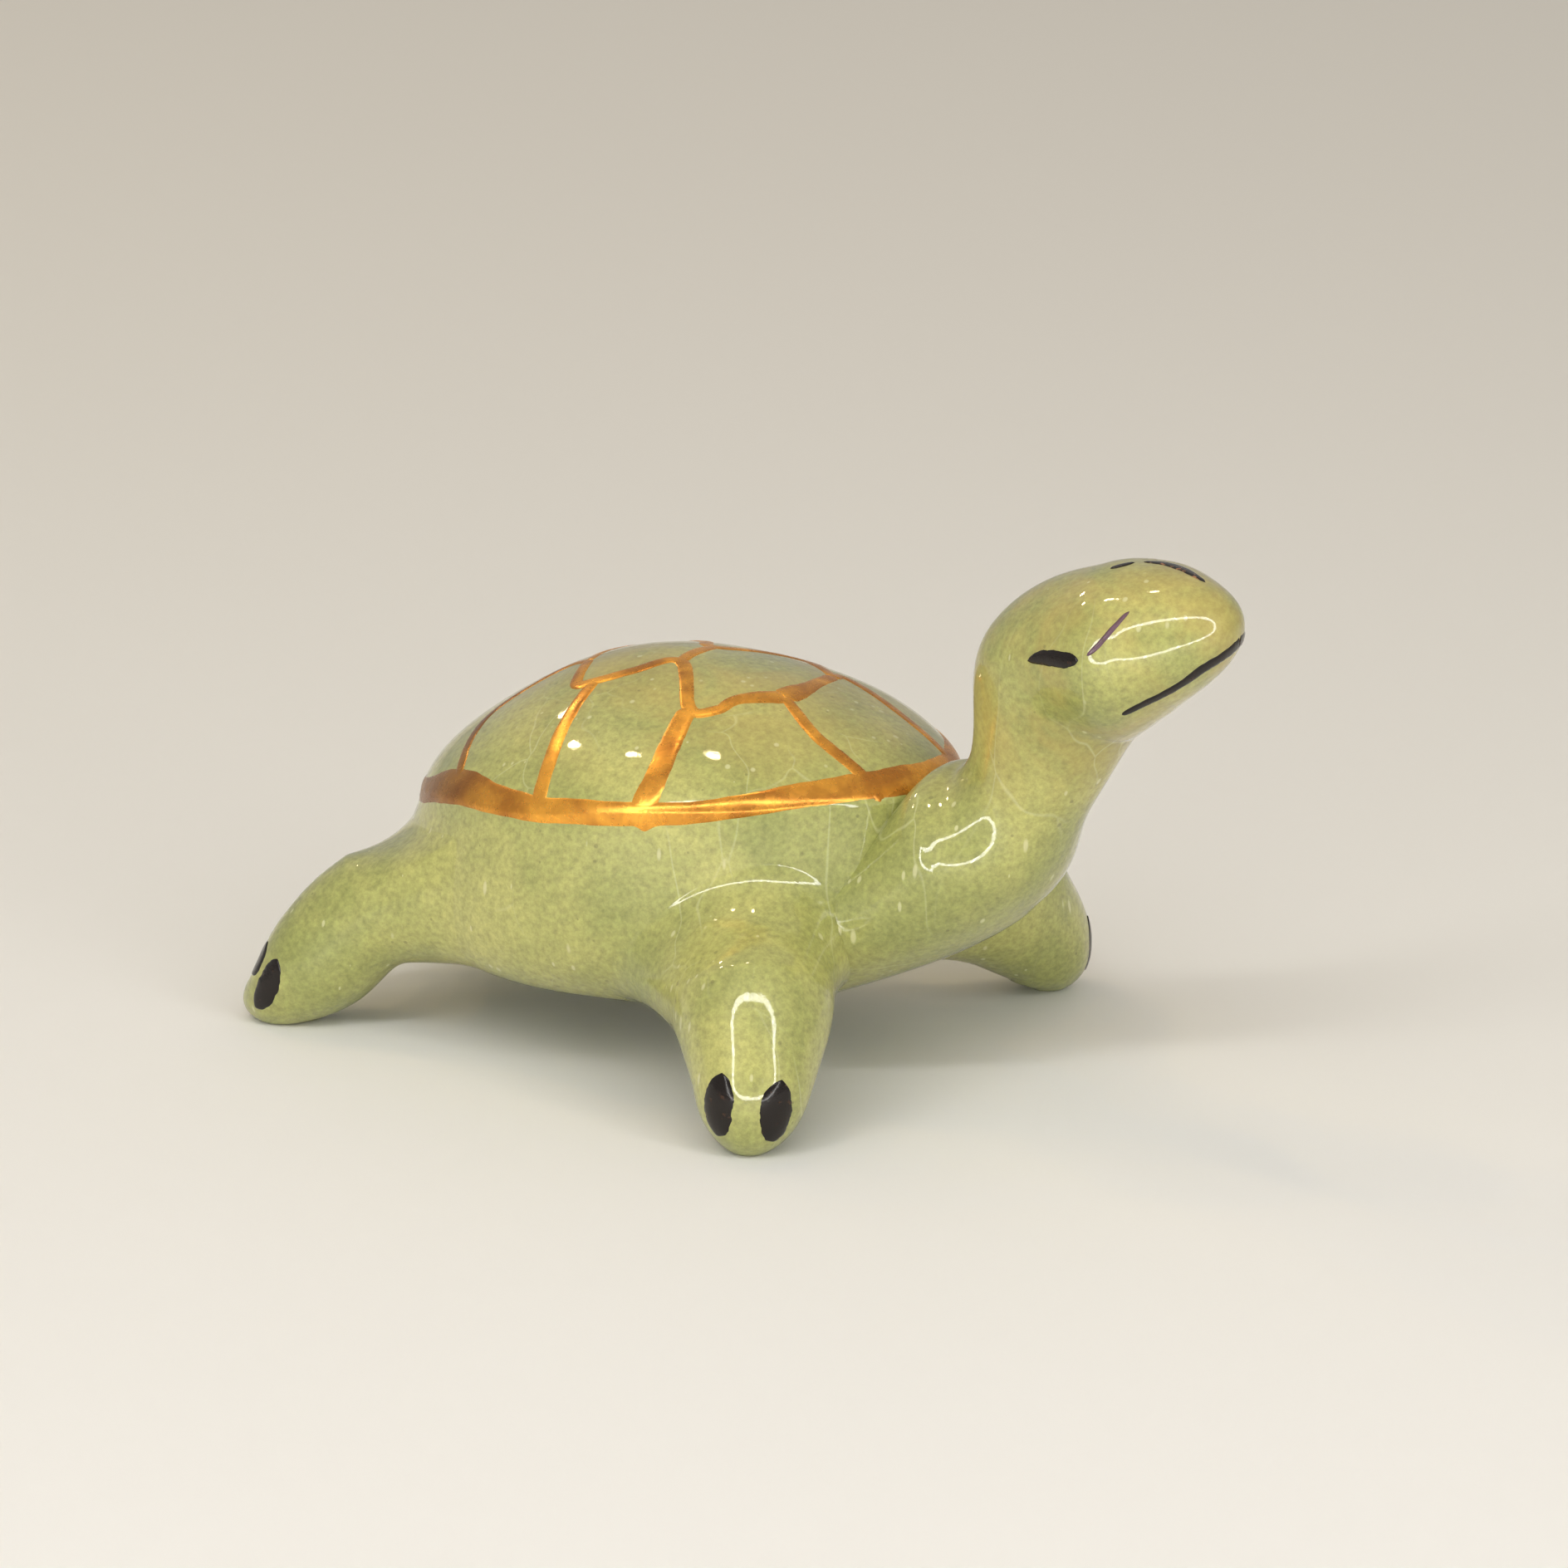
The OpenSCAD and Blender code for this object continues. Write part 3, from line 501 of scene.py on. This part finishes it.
# Rows of one closed skin: a point inside the body, two rows out to the root, the fillet, the tube, its tip
def makeLimb(name, node, limb, side=1):
    columns, rows = limb["columns"], limb["rows"]
    phi = np.arange(columns) / columns * 2 * math.pi
    u, t = math.radians(limb["rootU"]), limb["rootT"]
    fillet = filletRows(limb, np.linspace(1, 0, limb["filletRows"], endpoint=False), phi)
    base = bodyAt(u, t) - bodyNormal(u, t) * limbs["rootDepth"]
    under = base + (fillet[:1] - base) * np.array([0.35, 0.7])[:, None, None]
    s = 1 - (1 - limb["start"]) * (1 - np.arange(rows) / rows) ** 1.7
    tube = limbAt(limb, s[:, None], phi[None, :])
    grid = np.concatenate([under, fillet, tube])
    tip = np.asarray(limb["spine"][-1], float)
    points = mirrored(np.vstack([grid.reshape(-1, 3), base, tip]), side)
    count = grid.shape[0] * columns
    faces = gridFaces(grid.shape[0], columns, first=count, last=count + 1)
    return makePiece(name, node, points, faces, celadonGlaze)


# In each limb's dictionary, start is where the tube leaves its fillet, rootU (degrees) and rootT are the
# middle of the root on the body, and root is its half width and its reach above and below that middle
neck = {
    "lean": 7.9, "rise": 6.1, "width": 6.1, "headWidth": 9.6, "headDepth": 7.7, "forward": 5.5, "climb": 3.1,
    "snout": 3.7, "roll": 11.0, "turn": 1.2, "side": (0, -1, 0),
    "start": 0.14, "rootU": 0.0, "rootT": 0.425, "root": (9.8, 10.5, 5.4), "spreadFrom": 0.38, "inward": 0.4,
    "columns": 176, "rows": 110, "filletRows": 40,
}


# Neck and head in one spine: it leaves the chest, stands up and leans forward into the head and snout
def neckLimb():
    n, x, z = neck, halfLength + neck["lean"], frontRimZ + neck["rise"]
    snoutX, snoutZ = x + n["forward"], z + n["climb"]
    spine = [(halfLength - 2, 0, frontRimZ - 5),
             (halfLength + 3.5, 0, frontRimZ - 2.5),
             (x - 2.1, -0.15 * n["turn"], frontRimZ + 0.095 * n["rise"]),
             (x, -0.35 * n["turn"], z),
             (x + 0.61 * n["forward"], -0.62 * n["turn"], z + 0.71 * n["climb"]),
             (snoutX, -0.82 * n["turn"], snoutZ),
             (snoutX + 0.53 * n["snout"], -0.94 * n["turn"], snoutZ + 0.19 * n["snout"]),
             (snoutX + n["snout"], -n["turn"], snoutZ + 0.37 * n["snout"])]
    w, hw, hd = n["width"], n["headWidth"], n["headDepth"]
    sizes = [(6.2, 4.8), (0.83 * w, 0.64 * w), (0.53 * w, w / 2), (0.41 * hw, 0.56 * hd), (hw / 2, hd / 2),
             (0.432 * hw, 0.412 * hd), (0.287 * hw, 0.293 * hd), (0, 0)]
    rolls = np.array([0, 0, 0.3, 0.8, 1, 1, 1, 1]) * n["roll"]
    return {**n, "spine": spine, "sizes": sizes, "rolls": rolls}


frontLeg = {
    "reach": 12.6, "spread": 28.2, "footWidth": 4.7, "legWidth": 7.8, "side": (1, 0, 0.3),
    "start": 0.3, "rootU": -46.2, "rootT": 0.5, "root": (6.4, 6.6, 4.6), "spreadFrom": 0.66, "inward": 0.32,
    "columns": 136, "rows": 72, "filletRows": 36,
}


# Front leg: it slopes down and out from the shoulder and stands on a round foot
def frontLimb():
    r, y, b, w = frontLeg["reach"], -frontLeg["spread"] / 2, shell["bellyClearance"], frontLeg["footWidth"]
    ankle, leg = 0.45 * w + 0.12 * frontLeg["legWidth"], frontLeg["legWidth"] / 2
    spine = [(r - 4.7, y + 6.7, b + 4.6), (r - 2, y + 3.5, b + 3.4), (r - 0.45, y + 1.05, b + 0.9),
             (r, y, 0.31 * w), (r + 0.05, y - 0.45, -0.2)]
    sizes = [(4.2, 4.2), (leg, leg), (ankle, ankle), (w / 2, w / 2), (0, 0)]
    return {**frontLeg, "spine": spine, "sizes": sizes, "rolls": np.zeros(5)}


rearLeg = {
    "reach": 17.1, "spread": 21.0, "footWidth": 3.6, "legWidth": 6.3, "side": (1, 0, 0.3),
    "start": 0.25, "rootU": -139.0, "rootT": 0.42, "root": (5.8, 7.2, 4.8), "spreadFrom": 0.7, "inward": 0.3,
    "columns": 128, "rows": 68, "filletRows": 36,
}


# Rear leg: it runs back and out from under the rim, lower and thinner than the front one
def rearLimb():
    r, y, b, w = rearLeg["reach"], -rearLeg["spread"] / 2, shell["bellyClearance"], rearLeg["footWidth"]
    ankle, leg = 0.155 * w + 0.345 * rearLeg["legWidth"], rearLeg["legWidth"] / 2
    spine = [(8.7 - r, y + 5.3, b + 5.3), (4.2 - r, y + 2.4, b + 3.35), (1.7 - r, y + 1.15, b + 0.6),
             (-r, y, 0.39 * w), (-r - 1.65, y - 0.6, w / 6)]
    sizes = [(4.4, 4.6), (leg, 0.92 * leg), (ankle, ankle), (w / 2, w / 2), (0, 0)]
    return {**rearLeg, "spine": spine, "sizes": sizes, "rolls": np.zeros(5)}


tail = {
    "reach": 2.4, "width": 2.4, "side": (0, 1, 0),
    "start": 0.36, "rootU": 180.0, "rootT": 0.4, "root": (2.4, 3.0, 2.8), "spreadFrom": 0.5, "inward": 0.3,
    "columns": 72, "rows": 30, "filletRows": 16,
}


# Tail: a short taper that drops a little from under the rim
def tailLimb():
    b, reach, w = shell["bellyClearance"], tail["reach"], tail["width"]
    spine = [(2 - halfLength, 0, b + 6.2), (-halfLength, 0, b + 4.4),
             (-halfLength - 0.7 * reach, 0, b + 3.1), (-halfLength - reach, 0, b + 2.7)]
    sizes = [(1.8, 1.6), (w / 2, 0.46 * w), (0.34 * w, 0.3 * w), (0, 0)]
    return {**tail, "spine": spine, "sizes": sizes, "rolls": np.zeros(4)}


headLimb, frontLegLimb, rearLegLimb = neckLimb(), frontLimb(), rearLimb()
makeCarapace()
makeTrunk()
makeLimb("neckAndHead", "head_and_neck", headLimb)
for sideName, side in (("Right", 1), ("Left", -1)):
    makeLimb("frontLeg" + sideName, "front_" + sideName.lower() + "_leg", frontLegLimb, side)
    makeLimb("rearLeg" + sideName, "rear_" + sideName.lower() + "_leg", rearLegLimb, side)
makeLimb("shortTail", "tail", tailLimb())
print("clay pieces made")


# Plan fractions of the dome (x over half length, y over half width) to the skin: the inverse of its spread
def domeAt(p):
    far = np.clip(np.hypot(p[..., 0], p[..., 1]), 1e-6, 1)
    return bodyAt(np.arctan2(p[..., 1], p[..., 0]), -np.arccos(far ** (1 / shell["domeSpread"])) / ninety)


def limbSkin(limb, side=1):  # the limb's surface as a function of (s, phi in radians)
    return lambda p: mirrored(limbAt(limb, p[..., 0], p[..., 1]), side)


# The film of a brush stroke: rows a step apart with so many points across, a rim that dips under the skin and
# an underside root below it. It is thinner where a half width is under fullWidth, and leastEnd is the share
# of its width that an end keeps
film = {"step": 0.07, "across": 13, "dip": 0.03, "root": 0.07, "fullWidth": 0.12, "leastEnd": 0.06}


# A brush stroke on a surface. centre holds its middle line in the surface's own two parameters, left and
# right its half widths in millimetres. A point at x (-1 to 1) across is surface(centre + shift), where the
# shift is solved from the two tangents so that it moves sideways by x times the half width. On top it is
# lift (1 - x^4) - dip x^4 above the skin
def strokeGrid(surface, centre, left, right, lift, flip, tiny):
    a = (surface(centre + [tiny[0], 0]) - surface(centre - [tiny[0], 0])) / (2 * tiny[0])
    b = (surface(centre + [0, tiny[1]]) - surface(centre - [0, tiny[1]])) / (2 * tiny[1])
    normal = unit(np.cross(a, b)) * flip
    line = surface(centre)
    side = unit(np.cross(normal, unit(np.gradient(line, axis=0))))
    aa, ab, bb = (a * a).sum(-1), (a * b).sum(-1), (b * b).sum(-1)
    sa, sb = (side * a).sum(-1), (side * b).sum(-1)
    shift = np.stack([sa * bb - sb * ab, sb * aa - sa * ab], -1) / (aa * bb - ab**2)[:, None]
    x = np.linspace(-1, 1, film["across"])
    width = np.where(x[None, :] < 0, right[:, None], left[:, None]) * x[None, :]
    skin = surface(centre[:, None] + shift[:, None] * width[..., None])
    taper = np.minimum(1, np.minimum(left, right) / film["fullWidth"])[:, None]  # thinner where it narrows
    top = skin + normal[:, None] * ((lift * taper * (1 - x**4) - film["dip"] * x**4)[..., None])
    under = skin[:, ::-2] - normal[:, None] * film["root"]
    return np.concatenate([top, under], 1)


def closeStroke(grid):  # each end closes on the mean of its last row
    rows, columns = grid.shape[:2]
    ends = np.stack([grid[0].mean(0), grid[-1].mean(0)])
    points = np.vstack([grid.reshape(-1, 3), ends])
    return points, gridFaces(rows, columns, first=rows * columns, last=rows * columns + 1)


# Half widths along a stroke: round ends of the given lengths, by sqrt(1 - (1 - run / length)^2), and two
# edges that each wander in their own way, slowly and finely
def strokeWidths(total, width, startLength, endLength, ragged, seed):
    run = np.linspace(0, total, max(int(total / film["step"]), 24))
    ends = np.sqrt(np.clip(1 - np.clip(1 - run / startLength, 0, 1) ** 2, 0, 1))
    ends *= np.sqrt(np.clip(1 - np.clip(1 - (total - run) / endLength, 0, 1) ** 2, 0, 1))
    half = width(run / total) / 2 * np.maximum(ends, film["leastEnd"])

    def edge(first):
        return half * (1 + ragged * wander(run, 3.2, first) + 0.45 * ragged * wander(run, 0.8, first + 50))

    return run / total, edge(seed), edge(seed + 100)


# Length of a path on a surface, in millimetres
def pathLength(surface, path):
    line = surface(curveThrough(path, np.linspace(0, 1, 60)))
    return np.linalg.norm(np.diff(line, axis=0), axis=1).sum()


def makeStroke(name, node, surface, path, width, material, lift, ends, ragged, seed,
               flip=1, tiny=(1e-3, 1e-3)):
    s, left, right = strokeWidths(pathLength(surface, path), width, *ends, ragged, seed)
    grid = strokeGrid(surface, curveThrough(path, s), left, right, lift, flip, tiny)
    points, faces = closeStroke(grid)
    return makePiece(name, node, points, faces, material)


# Points of the plate lines, and below them of the other lines, are places in the dome's plan: x over half
# its length and y over half its width
gilding = {
    "bandWidth": 1.2, "plateWidth": 0.8, "ragged": 0.06,
    "bandThick": 0.06, "bandRoot": 0.08, "plateThick": 0.05, "crossThick": 0.044, "ribThick": 0.047,
    "dripAngle": 289.0, "dripSize": 0.3,  # under the second rib
    # middle of the band above the rim, each 30 degrees
    "bandLift": [0.6, 0.25, 0, 0.05, 0.5, 0.1, 0.1, 0.15, 0.78, 0.1, 0.02, 0.8],
    "plateRight": [(-0.32, -0.16), (-0.245, -0.39), (-0.17, -0.385), (-0.055, -0.29), (0.065, -0.15),
                   (0.255, -0.465), (0.345, -0.42), (0.37, -0.31), (0.47, -0.14)],
    "plateLeft": [(-0.32, 0.15), (-0.24, 0.38), (-0.06, 0.3), (0.065, 0.14), (0.25, 0.45),
                  (0.35, 0.42), (0.455, 0.325)],
    "ribWidths": [(0.7, 0.85), (1.15, 1.55), (0.8, 1.1), (0.65, 0.8)],  # at the top and at the band
}
plateRight, plateLeft = np.array(gilding["plateRight"]), np.array(gilding["plateLeft"])
crossLines = {
    "front": [plateRight[8], (0.475, 0.08), plateLeft[6]],
    "middle": [plateRight[4], (0.06, 0), plateLeft[3]],
    "rear": [plateRight[0], (-0.335, 0), plateLeft[0]],
}
ribsRight = [
    [plateRight[8], (0.665, -0.285), (0.89, -0.335), (0.92, -0.34)],
    [plateRight[5], (0.295, -0.77), (0.305, -0.93), (0.306, -0.945)],
    [plateRight[2], (-0.155, -0.695), (-0.105, -0.96), (-0.1, -0.975)],
    [plateRight[0], (-0.425, -0.15), (-0.605, -0.33), (-0.61, -0.55), (-0.55, -0.775), (-0.555, -0.81)],
]
ribsLeft = [
    [plateLeft[6], (0.47, 0.4), (0.7, 0.34), (0.905, 0.27), (0.935, 0.265)],
    [plateLeft[4], (0.3, 0.745), (0.31, 0.925), (0.31, 0.94)],
    [plateLeft[1], (-0.17, 0.68), (-0.12, 0.96), (-0.12, 0.98)],
    [plateLeft[0], (-0.43, 0.16), (-0.6, 0.36), (-0.6, 0.6), (-0.56, 0.78), (-0.56, 0.815)],
]


# Body parameter t at a height h above the rim line: the inverse of the rise
def heightToT(u, h):
    z = rimAt(u)[..., 2]
    up = np.clip(h, 0, None) / (shell["apexHeight"] - z)
    down = np.clip(-h, 0, None) / (z - shell["bellyClearance"])
    return np.where(h >= 0, -np.arcsin(up ** (1 / shell["domeRound"])),
                    np.arcsin(down ** (1 / shell["trunkRound"]))) / ninety


# Rim band: rows round the shell, each a thin crowned strip between a lower and an upper edge that wander. Its
# half width is half the band's width times 1 + 0.1 sin(3u + 40 degrees) + a bell half as high about u = 4
def makeBand():
    count = 900
    u = np.arange(count) / count * 2 * math.pi
    keys = np.array(gilding["bandLift"] * 3)
    middle = curveThrough(keys, (1 + u / (2 * math.pi)) * len(gilding["bandLift"]) / (len(keys) - 1))[:, 0]
    swell = 1 + 0.1 * np.sin(3 * u + math.radians(40)) + 0.5 * np.exp(-((u - 4.0) / 0.3) ** 2)
    half = gilding["bandWidth"] * swell / 2
    drip = gilding["dripSize"] * np.exp(-((u - math.radians(gilding["dripAngle"])) / 0.025) ** 2)

    def edge(a, b):  # three sines of falling size make an edge uneven
        waves = 1 + 0.08 * np.sin(9 * u + a) + 0.03 * np.sin(23 * u + b) + 0.012 * np.sin(61 * u + a)
        return half * waves

    lower, upper = edge(0.4, 2.0) + drip, edge(3.1, 5.0)
    x = np.linspace(-1, 1, 17)
    height = middle[:, None] + np.where(x[None] < 0, lower[:, None], upper[:, None]) * x[None]
    t = heightToT(u[:, None], height)
    skin, normal = bodyAt(u[:, None], t), bodyNormal(u[:, None], t)
    top = skin + normal * (gilding["bandThick"] * (1 - x**4) - film["dip"] * x**4)[None, :, None]
    under = skin[:, ::-2] - normal[:, ::-2] * gilding["bandRoot"]
    grid = np.concatenate([top, under], 1)
    faces = gridFaces(grid.shape[0], grid.shape[1], along=True)
    return makePiece("rimBand", "gold_rim_band", grid.reshape(-1, 3), faces, goldLustre)


def goldLine(name, node, path, width, thick, seed):
    return makeStroke(name, node, domeAt, path, width, goldLustre, thick, (0.3, 0.3),
                      gilding["ragged"], seed)


# Widths along a plate or cross line: even, but for a bell about one place, where the brush paused
def pausedWidth(share=0.0, place=0.0, spread=1.0):
    return lambda s: gilding["plateWidth"] * (1 + share * np.exp(-((s - place) / spread) ** 2))


def makeGilding():
    makeBand()
    goldLine("plateLineRight", "gold_plate_line_right", plateRight, pausedWidth(0.7, 1, 0.09),
             gilding["plateThick"], 3)
    goldLine("plateLineLeft", "gold_plate_line_left", plateLeft, pausedWidth(), gilding["plateThick"], 4)
    for k, (place, path) in enumerate(crossLines.items()):
        width = pausedWidth(0.9, 0.12, 0.3) if place == "front" else pausedWidth()
        goldLine("crossLine" + place.title(), "gold_cross_line_" + place, path, width,
                 gilding["crossThick"], 20 + k)
    for sideName, ribs in (("Right", ribsRight), ("Left", ribsLeft)):
        for k, path in enumerate(ribs):
            first, last = gilding["ribWidths"][k]
            goldLine("rib" + sideName + str(k + 1), "gold_rib_" + sideName.lower() + "_" + str(k + 1), path,
                     lambda s, a=first, b=last: a + (b - a) * s, gilding["ribThick"],
                     30 + k + 7 * len(sideName))


makeGilding()
print("gilding made")

# Each path's points are a place along the limb, 0 to 1, and an angle round it in degrees
marks = {
    "eyeWidth": 0.9, "mouthWidth": 0.55, "frontClawWidth": 2.0, "rearClawWidth": 1.5,
    "thick": 0.05, "ragged": 0.12,
    "rightEye": [(0.484, -27), (0.522, -25.5), (0.564, -21.5), (0.606, -18)],
    "rightEyeCorner": [(0.634, -19.5), (0.675, -25.5), (0.715, -36), (0.751, -48)],
    "leftEye": [(0.69, -104), (0.75, -109), (0.82, -110), (0.905, -106)],
    "leftEyeCorner": [(0.63, -89), (0.65, -94), (0.672, -101)],
    "mouth": [(0.625, 35), (0.71, 37.5), (0.8, 39.5), (0.885, 41), (0.935, 56), (0.955, 74), (0.96, 90)],
    "frontClaws": [[(0.579, 85.5), (0.66, 89.5), (0.76, 95), (0.86, 103)],
                   [(0.585, 25), (0.67, 24.5), (0.76, 20), (0.85, 10)]],
    "rearClaws": [[(0.585, 73), (0.67, 62), (0.76, 46), (0.86, 18)],
                  [(0.6, 108), (0.68, 105), (0.75, 101), (0.82, 92)]],
}


def onLimb(path, other=False):  # degrees round a limb to radians; other reflects the path to its far side
    path = np.array(path, float)
    if other:
        path[:, 1] = 180 - path[:, 1]
    return path * [1, math.pi / 180]


# Widths of a leaf-shaped stroke: fullness 0 is even, 1 a leaf with pointed ends
def leaf(width, fullness):
    return lambda s: width * (1 - fullness + fullness * np.sqrt(np.maximum(0.04, np.sin(math.pi * s))))


def enamelStroke(name, node, limb, path, width, material, seed, side=1, ends=(0.3, 0.3)):
    return makeStroke(name, node, limbSkin(limb, side), path, width, material,
                      marks["thick"], ends, marks["ragged"], seed, flip=-side, tiny=(2e-3, 1e-2))


# Eyes, their corner strokes and the two halves of the mouth, which widens to the front
def makeFace():
    eye, mouth = marks["eyeWidth"], marks["mouthWidth"]
    strokes = [
        ("eyeRight", "right_eye", "rightEye", leaf(eye, 1), blackEnamel),
        # the right eye corner is black paint under a painted violet highlight
        ("eyeCornerRight", "right_eye_corner", "rightEyeCorner", leaf(eye * 0.33, 0.5), paintedHighlightEnamel),
        # the left eye is black paint with a painted copper sheen
        ("eyeLeft", "left_eye", "leftEye", leaf(eye * 0.9, 0.9), paintedSheenEnamel),
        ("eyeCornerLeft", "left_eye_corner", "leftEyeCorner", leaf(eye * 0.6, 1), blackEnamel),
    ]
    for k, (name, node, mark, width, material) in enumerate(strokes):
        enamelStroke(name, node, headLimb, onLimb(marks[mark]), width, material, 61 + k)
    for k, sideName in enumerate(("Right", "Left")):
        enamelStroke("mouth" + sideName, "mouth_line_" + sideName.lower(), headLimb,
                     onLimb(marks["mouth"], other=k == 1), lambda s: mouth * (0.8 + 0.8 * s), blackEnamel,
                     65 + k, ends=(0.4, 0.06))


def makeClaws():
    feet = [("Front", frontLegLimb, marks["frontClawWidth"], 70),
            ("Rear", rearLegLimb, marks["rearClawWidth"], 80)]
    for sideName, side in (("Right", 1), ("Left", -1)):
        for k in range(2):
            for end, limb, width, seed in feet:
                node = "claw_" + end.lower() + "_" + sideName.lower() + "_" + str(k + 1)
                path = onLimb(marks[end.lower() + "Claws"][k])
                enamelStroke("claw" + end + sideName + str(k + 1), node, limb, path, leaf(width, 1),
                             blackEnamel, seed + k, side)


makeFace()
makeClaws()
print("painted marks made")

# The camera's place is in degrees and millimetres; lamps are placed and sized in metres, their power in watts
studio = {
    "azimuth": 31.8, "elevation": 16.7, "distance": 300.0, "aim": (0.55, -1.13, 13.48), "lens": 143.0,
    "floorColour": (0.78, 0.775, 0.76, 1), "floorDrift": (0.74, 0.74, 0.74, 1),
    "worldColour": (1, 0.98, 0.94, 1), "ambient": 0.34, "surround": 0.42,
    "softKey": {"place": (-0.44, -1.1, 1.3), "size": (1.4, 1.4), "power": 4.0, "colour": (1, 0.97, 0.92)},
    "softFill": {"place": (1.4, -0.2, 0.9), "size": (1.2, 1.2), "power": 1.2, "colour": (0.96, 0.98, 1)},
    "softBack": {"place": (0.1, 1.1, 1.1), "size": (1.2, 1.0), "power": 2.8, "colour": (1, 0.82, 0.55)},
    # small warm spots high behind: degrees round from the camera, and elevation
    "spots": [(-126, 48), (-143, 40), (-122, 63), (-161, 74)],
    "spotAway": 0.6, "spotSize": 0.032, "spotPower": 0.14, "spotColour": (1, 0.78, 0.45),
}


# Direction from the object to a lamp or the camera, from its azimuth and elevation
def directionOf(azimuth, elevation):
    a, e = math.radians(azimuth), math.radians(elevation)
    return np.array([math.sin(a) * math.cos(e), -math.cos(a) * math.cos(e), math.sin(e)])


# Rotation that turns an object's -Z to look along a direction, with its Y held up
def lookAlong(direction):
    return Vector(direction).to_track_quat("-Z", "Y").to_euler()


def makeCamera():
    data = bpy.data.cameras.new("camera")
    data.sensor_width, data.lens, data.clip_start = 36, studio["lens"], 0.01
    camera = bpy.data.objects.new("camera", data)
    back = directionOf(studio["azimuth"], studio["elevation"])
    camera.location = (np.array(studio["aim"]) + studio["distance"] * back) * mm
    camera.rotation_euler = lookAlong(-back)
    bpy.context.scene.collection.objects.link(camera)
    bpy.context.scene.camera = camera


def addLamp(name, place, target, size, power, colour, shape="RECTANGLE"):
    data = bpy.data.lights.new(name, "AREA")
    data.shape, data.energy, data.color = shape, power, colour
    data.size, data.size_y = size
    lamp = bpy.data.objects.new(name, data)
    lamp.location = place
    lamp.rotation_euler = lookAlong(np.asarray(target) - np.asarray(place))
    lamp.visible_camera = False
    bpy.context.scene.collection.objects.link(lamp)
    return lamp


# Lamps in a loop seen round the camera from the object. Its width and heights are in degrees, each lamp runs
# a little past its neighbours by overlap, and power is for a lamp of powerLength
loop = {
    "width": 46.0, "low": 2.0, "high": 56.0, "away": 0.3, "count": 40, "thick": 0.021, "power": 0.032,
    "overlap": 1.15, "powerLength": 0.04, "centre": (0, 0, 0.008), "colour": (1, 0.985, 0.95),
}


# The loop is (cos a, sin a) with each part raised to a power below 1, which makes a rounded arch above and
# a flat line just over the floor below
def makeLoop():
    a = np.arange(loop["count"] + 1) / loop["count"] * 2 * math.pi + ninety
    middle, half = (loop["low"] + loop["high"]) / 2, (loop["high"] - loop["low"]) / 2
    across = loop["width"] * np.sign(np.cos(a)) * np.abs(np.cos(a)) ** 0.75
    above = middle + half * np.sign(np.sin(a)) * np.abs(np.sin(a)) ** np.where(np.sin(a) < 0, 0.55, 0.9)
    ways = np.stack([directionOf(studio["azimuth"] + x, y) for x, y in zip(across, above)])
    centre = np.array(loop["centre"])
    corners = ways * loop["away"] + centre
    for k in range(loop["count"]):
        start, end = corners[k], corners[k + 1]
        place, length = (start + end) / 2, np.linalg.norm(end - start)
        back = unit(place - centre)
        along = unit((end - start) - back * ((end - start) @ back))
        lamp = addLamp("loopLamp" + str(k), place, centre, (length * loop["overlap"], loop["thick"]),
                       loop["power"] * length / loop["powerLength"], loop["colour"])
        lamp.rotation_euler = Matrix(np.stack([along, np.cross(back, along), back], 1)).to_euler()


def makeLights():
    makeLoop()
    target = (0, 0, 0.01)
    for name in ("softKey", "softFill", "softBack"):
        soft = studio[name]
        lamp = addLamp(name, soft["place"], target, soft["size"], soft["power"], soft["colour"])
        lamp.visible_glossy = False
    for k, (x, y) in enumerate(studio["spots"]):
        addLamp("spot" + str(k), directionOf(studio["azimuth"] + x, y) * studio["spotAway"], target,
                (studio["spotSize"], studio["spotSize"]), studio["spotPower"], studio["spotColour"], "DISK")


# World: the ambient strength lights the object, the surround is what the camera, gloss and glass see
def makeWorld():
    world = bpy.data.worlds.new("world")
    bpy.context.scene.world = world
    world.use_nodes = True
    tree = world.node_tree
    rays = addNode(tree, "LightPath").outputs
    seen = mathNode(tree, "MAXIMUM", rays["Is Glossy Ray"], rays["Is Transmission Ray"])
    seen = mathNode(tree, "MAXIMUM", rays["Is Camera Ray"], seen)
    more = mathNode(tree, "MULTIPLY", seen, studio["surround"] - studio["ambient"])
    strength = mathNode(tree, "ADD", more, studio["ambient"])
    fillInputs(tree, tree.nodes["Background"], {"Color": studio["worldColour"], "Strength": strength})


# Floor: a wide disc whose colour drifts very slightly, at the height of the soles
def makeFloor():
    material, tree, shader = newMaterial("pale floor")
    place = inMillimetres(tree)
    drift = mathNode(tree, "MULTIPLY", noiseOf(tree, place, 0.02, 2), 0.08)
    colour = blendColours(tree, drift, studio["floorColour"], studio["floorDrift"])
    tree.links.new(colour, shader.inputs["Base Color"])
    shader.inputs["Roughness"].default_value = 0.7
    shader.inputs["Specular IOR Level"].default_value = 0.2
    columns, radii = 96, np.array([0.05, 0.2, 0.8, 3.0])[:, None]
    a = np.arange(columns) / columns * 2 * math.pi
    grid = np.stack([radii * np.cos(a), radii * np.sin(a), np.zeros((len(radii), columns))], -1)
    faces = gridFaces(len(radii), columns, first=len(radii) * columns)
    mesh = bpy.data.meshes.new("paleFloor")
    mesh.from_pydata(np.vstack([grid.reshape(-1, 3), [(0, 0, 0)]]), [], faces)
    mesh.materials.append(material)
    floor = bpy.data.objects.new("paleFloor", mesh)
    bpy.context.scene.collection.objects.link(floor)


makeCamera()
makeLights()
makeWorld()
makeFloor()
bpy.context.scene.view_settings.view_transform = "Standard"
print("studio made")
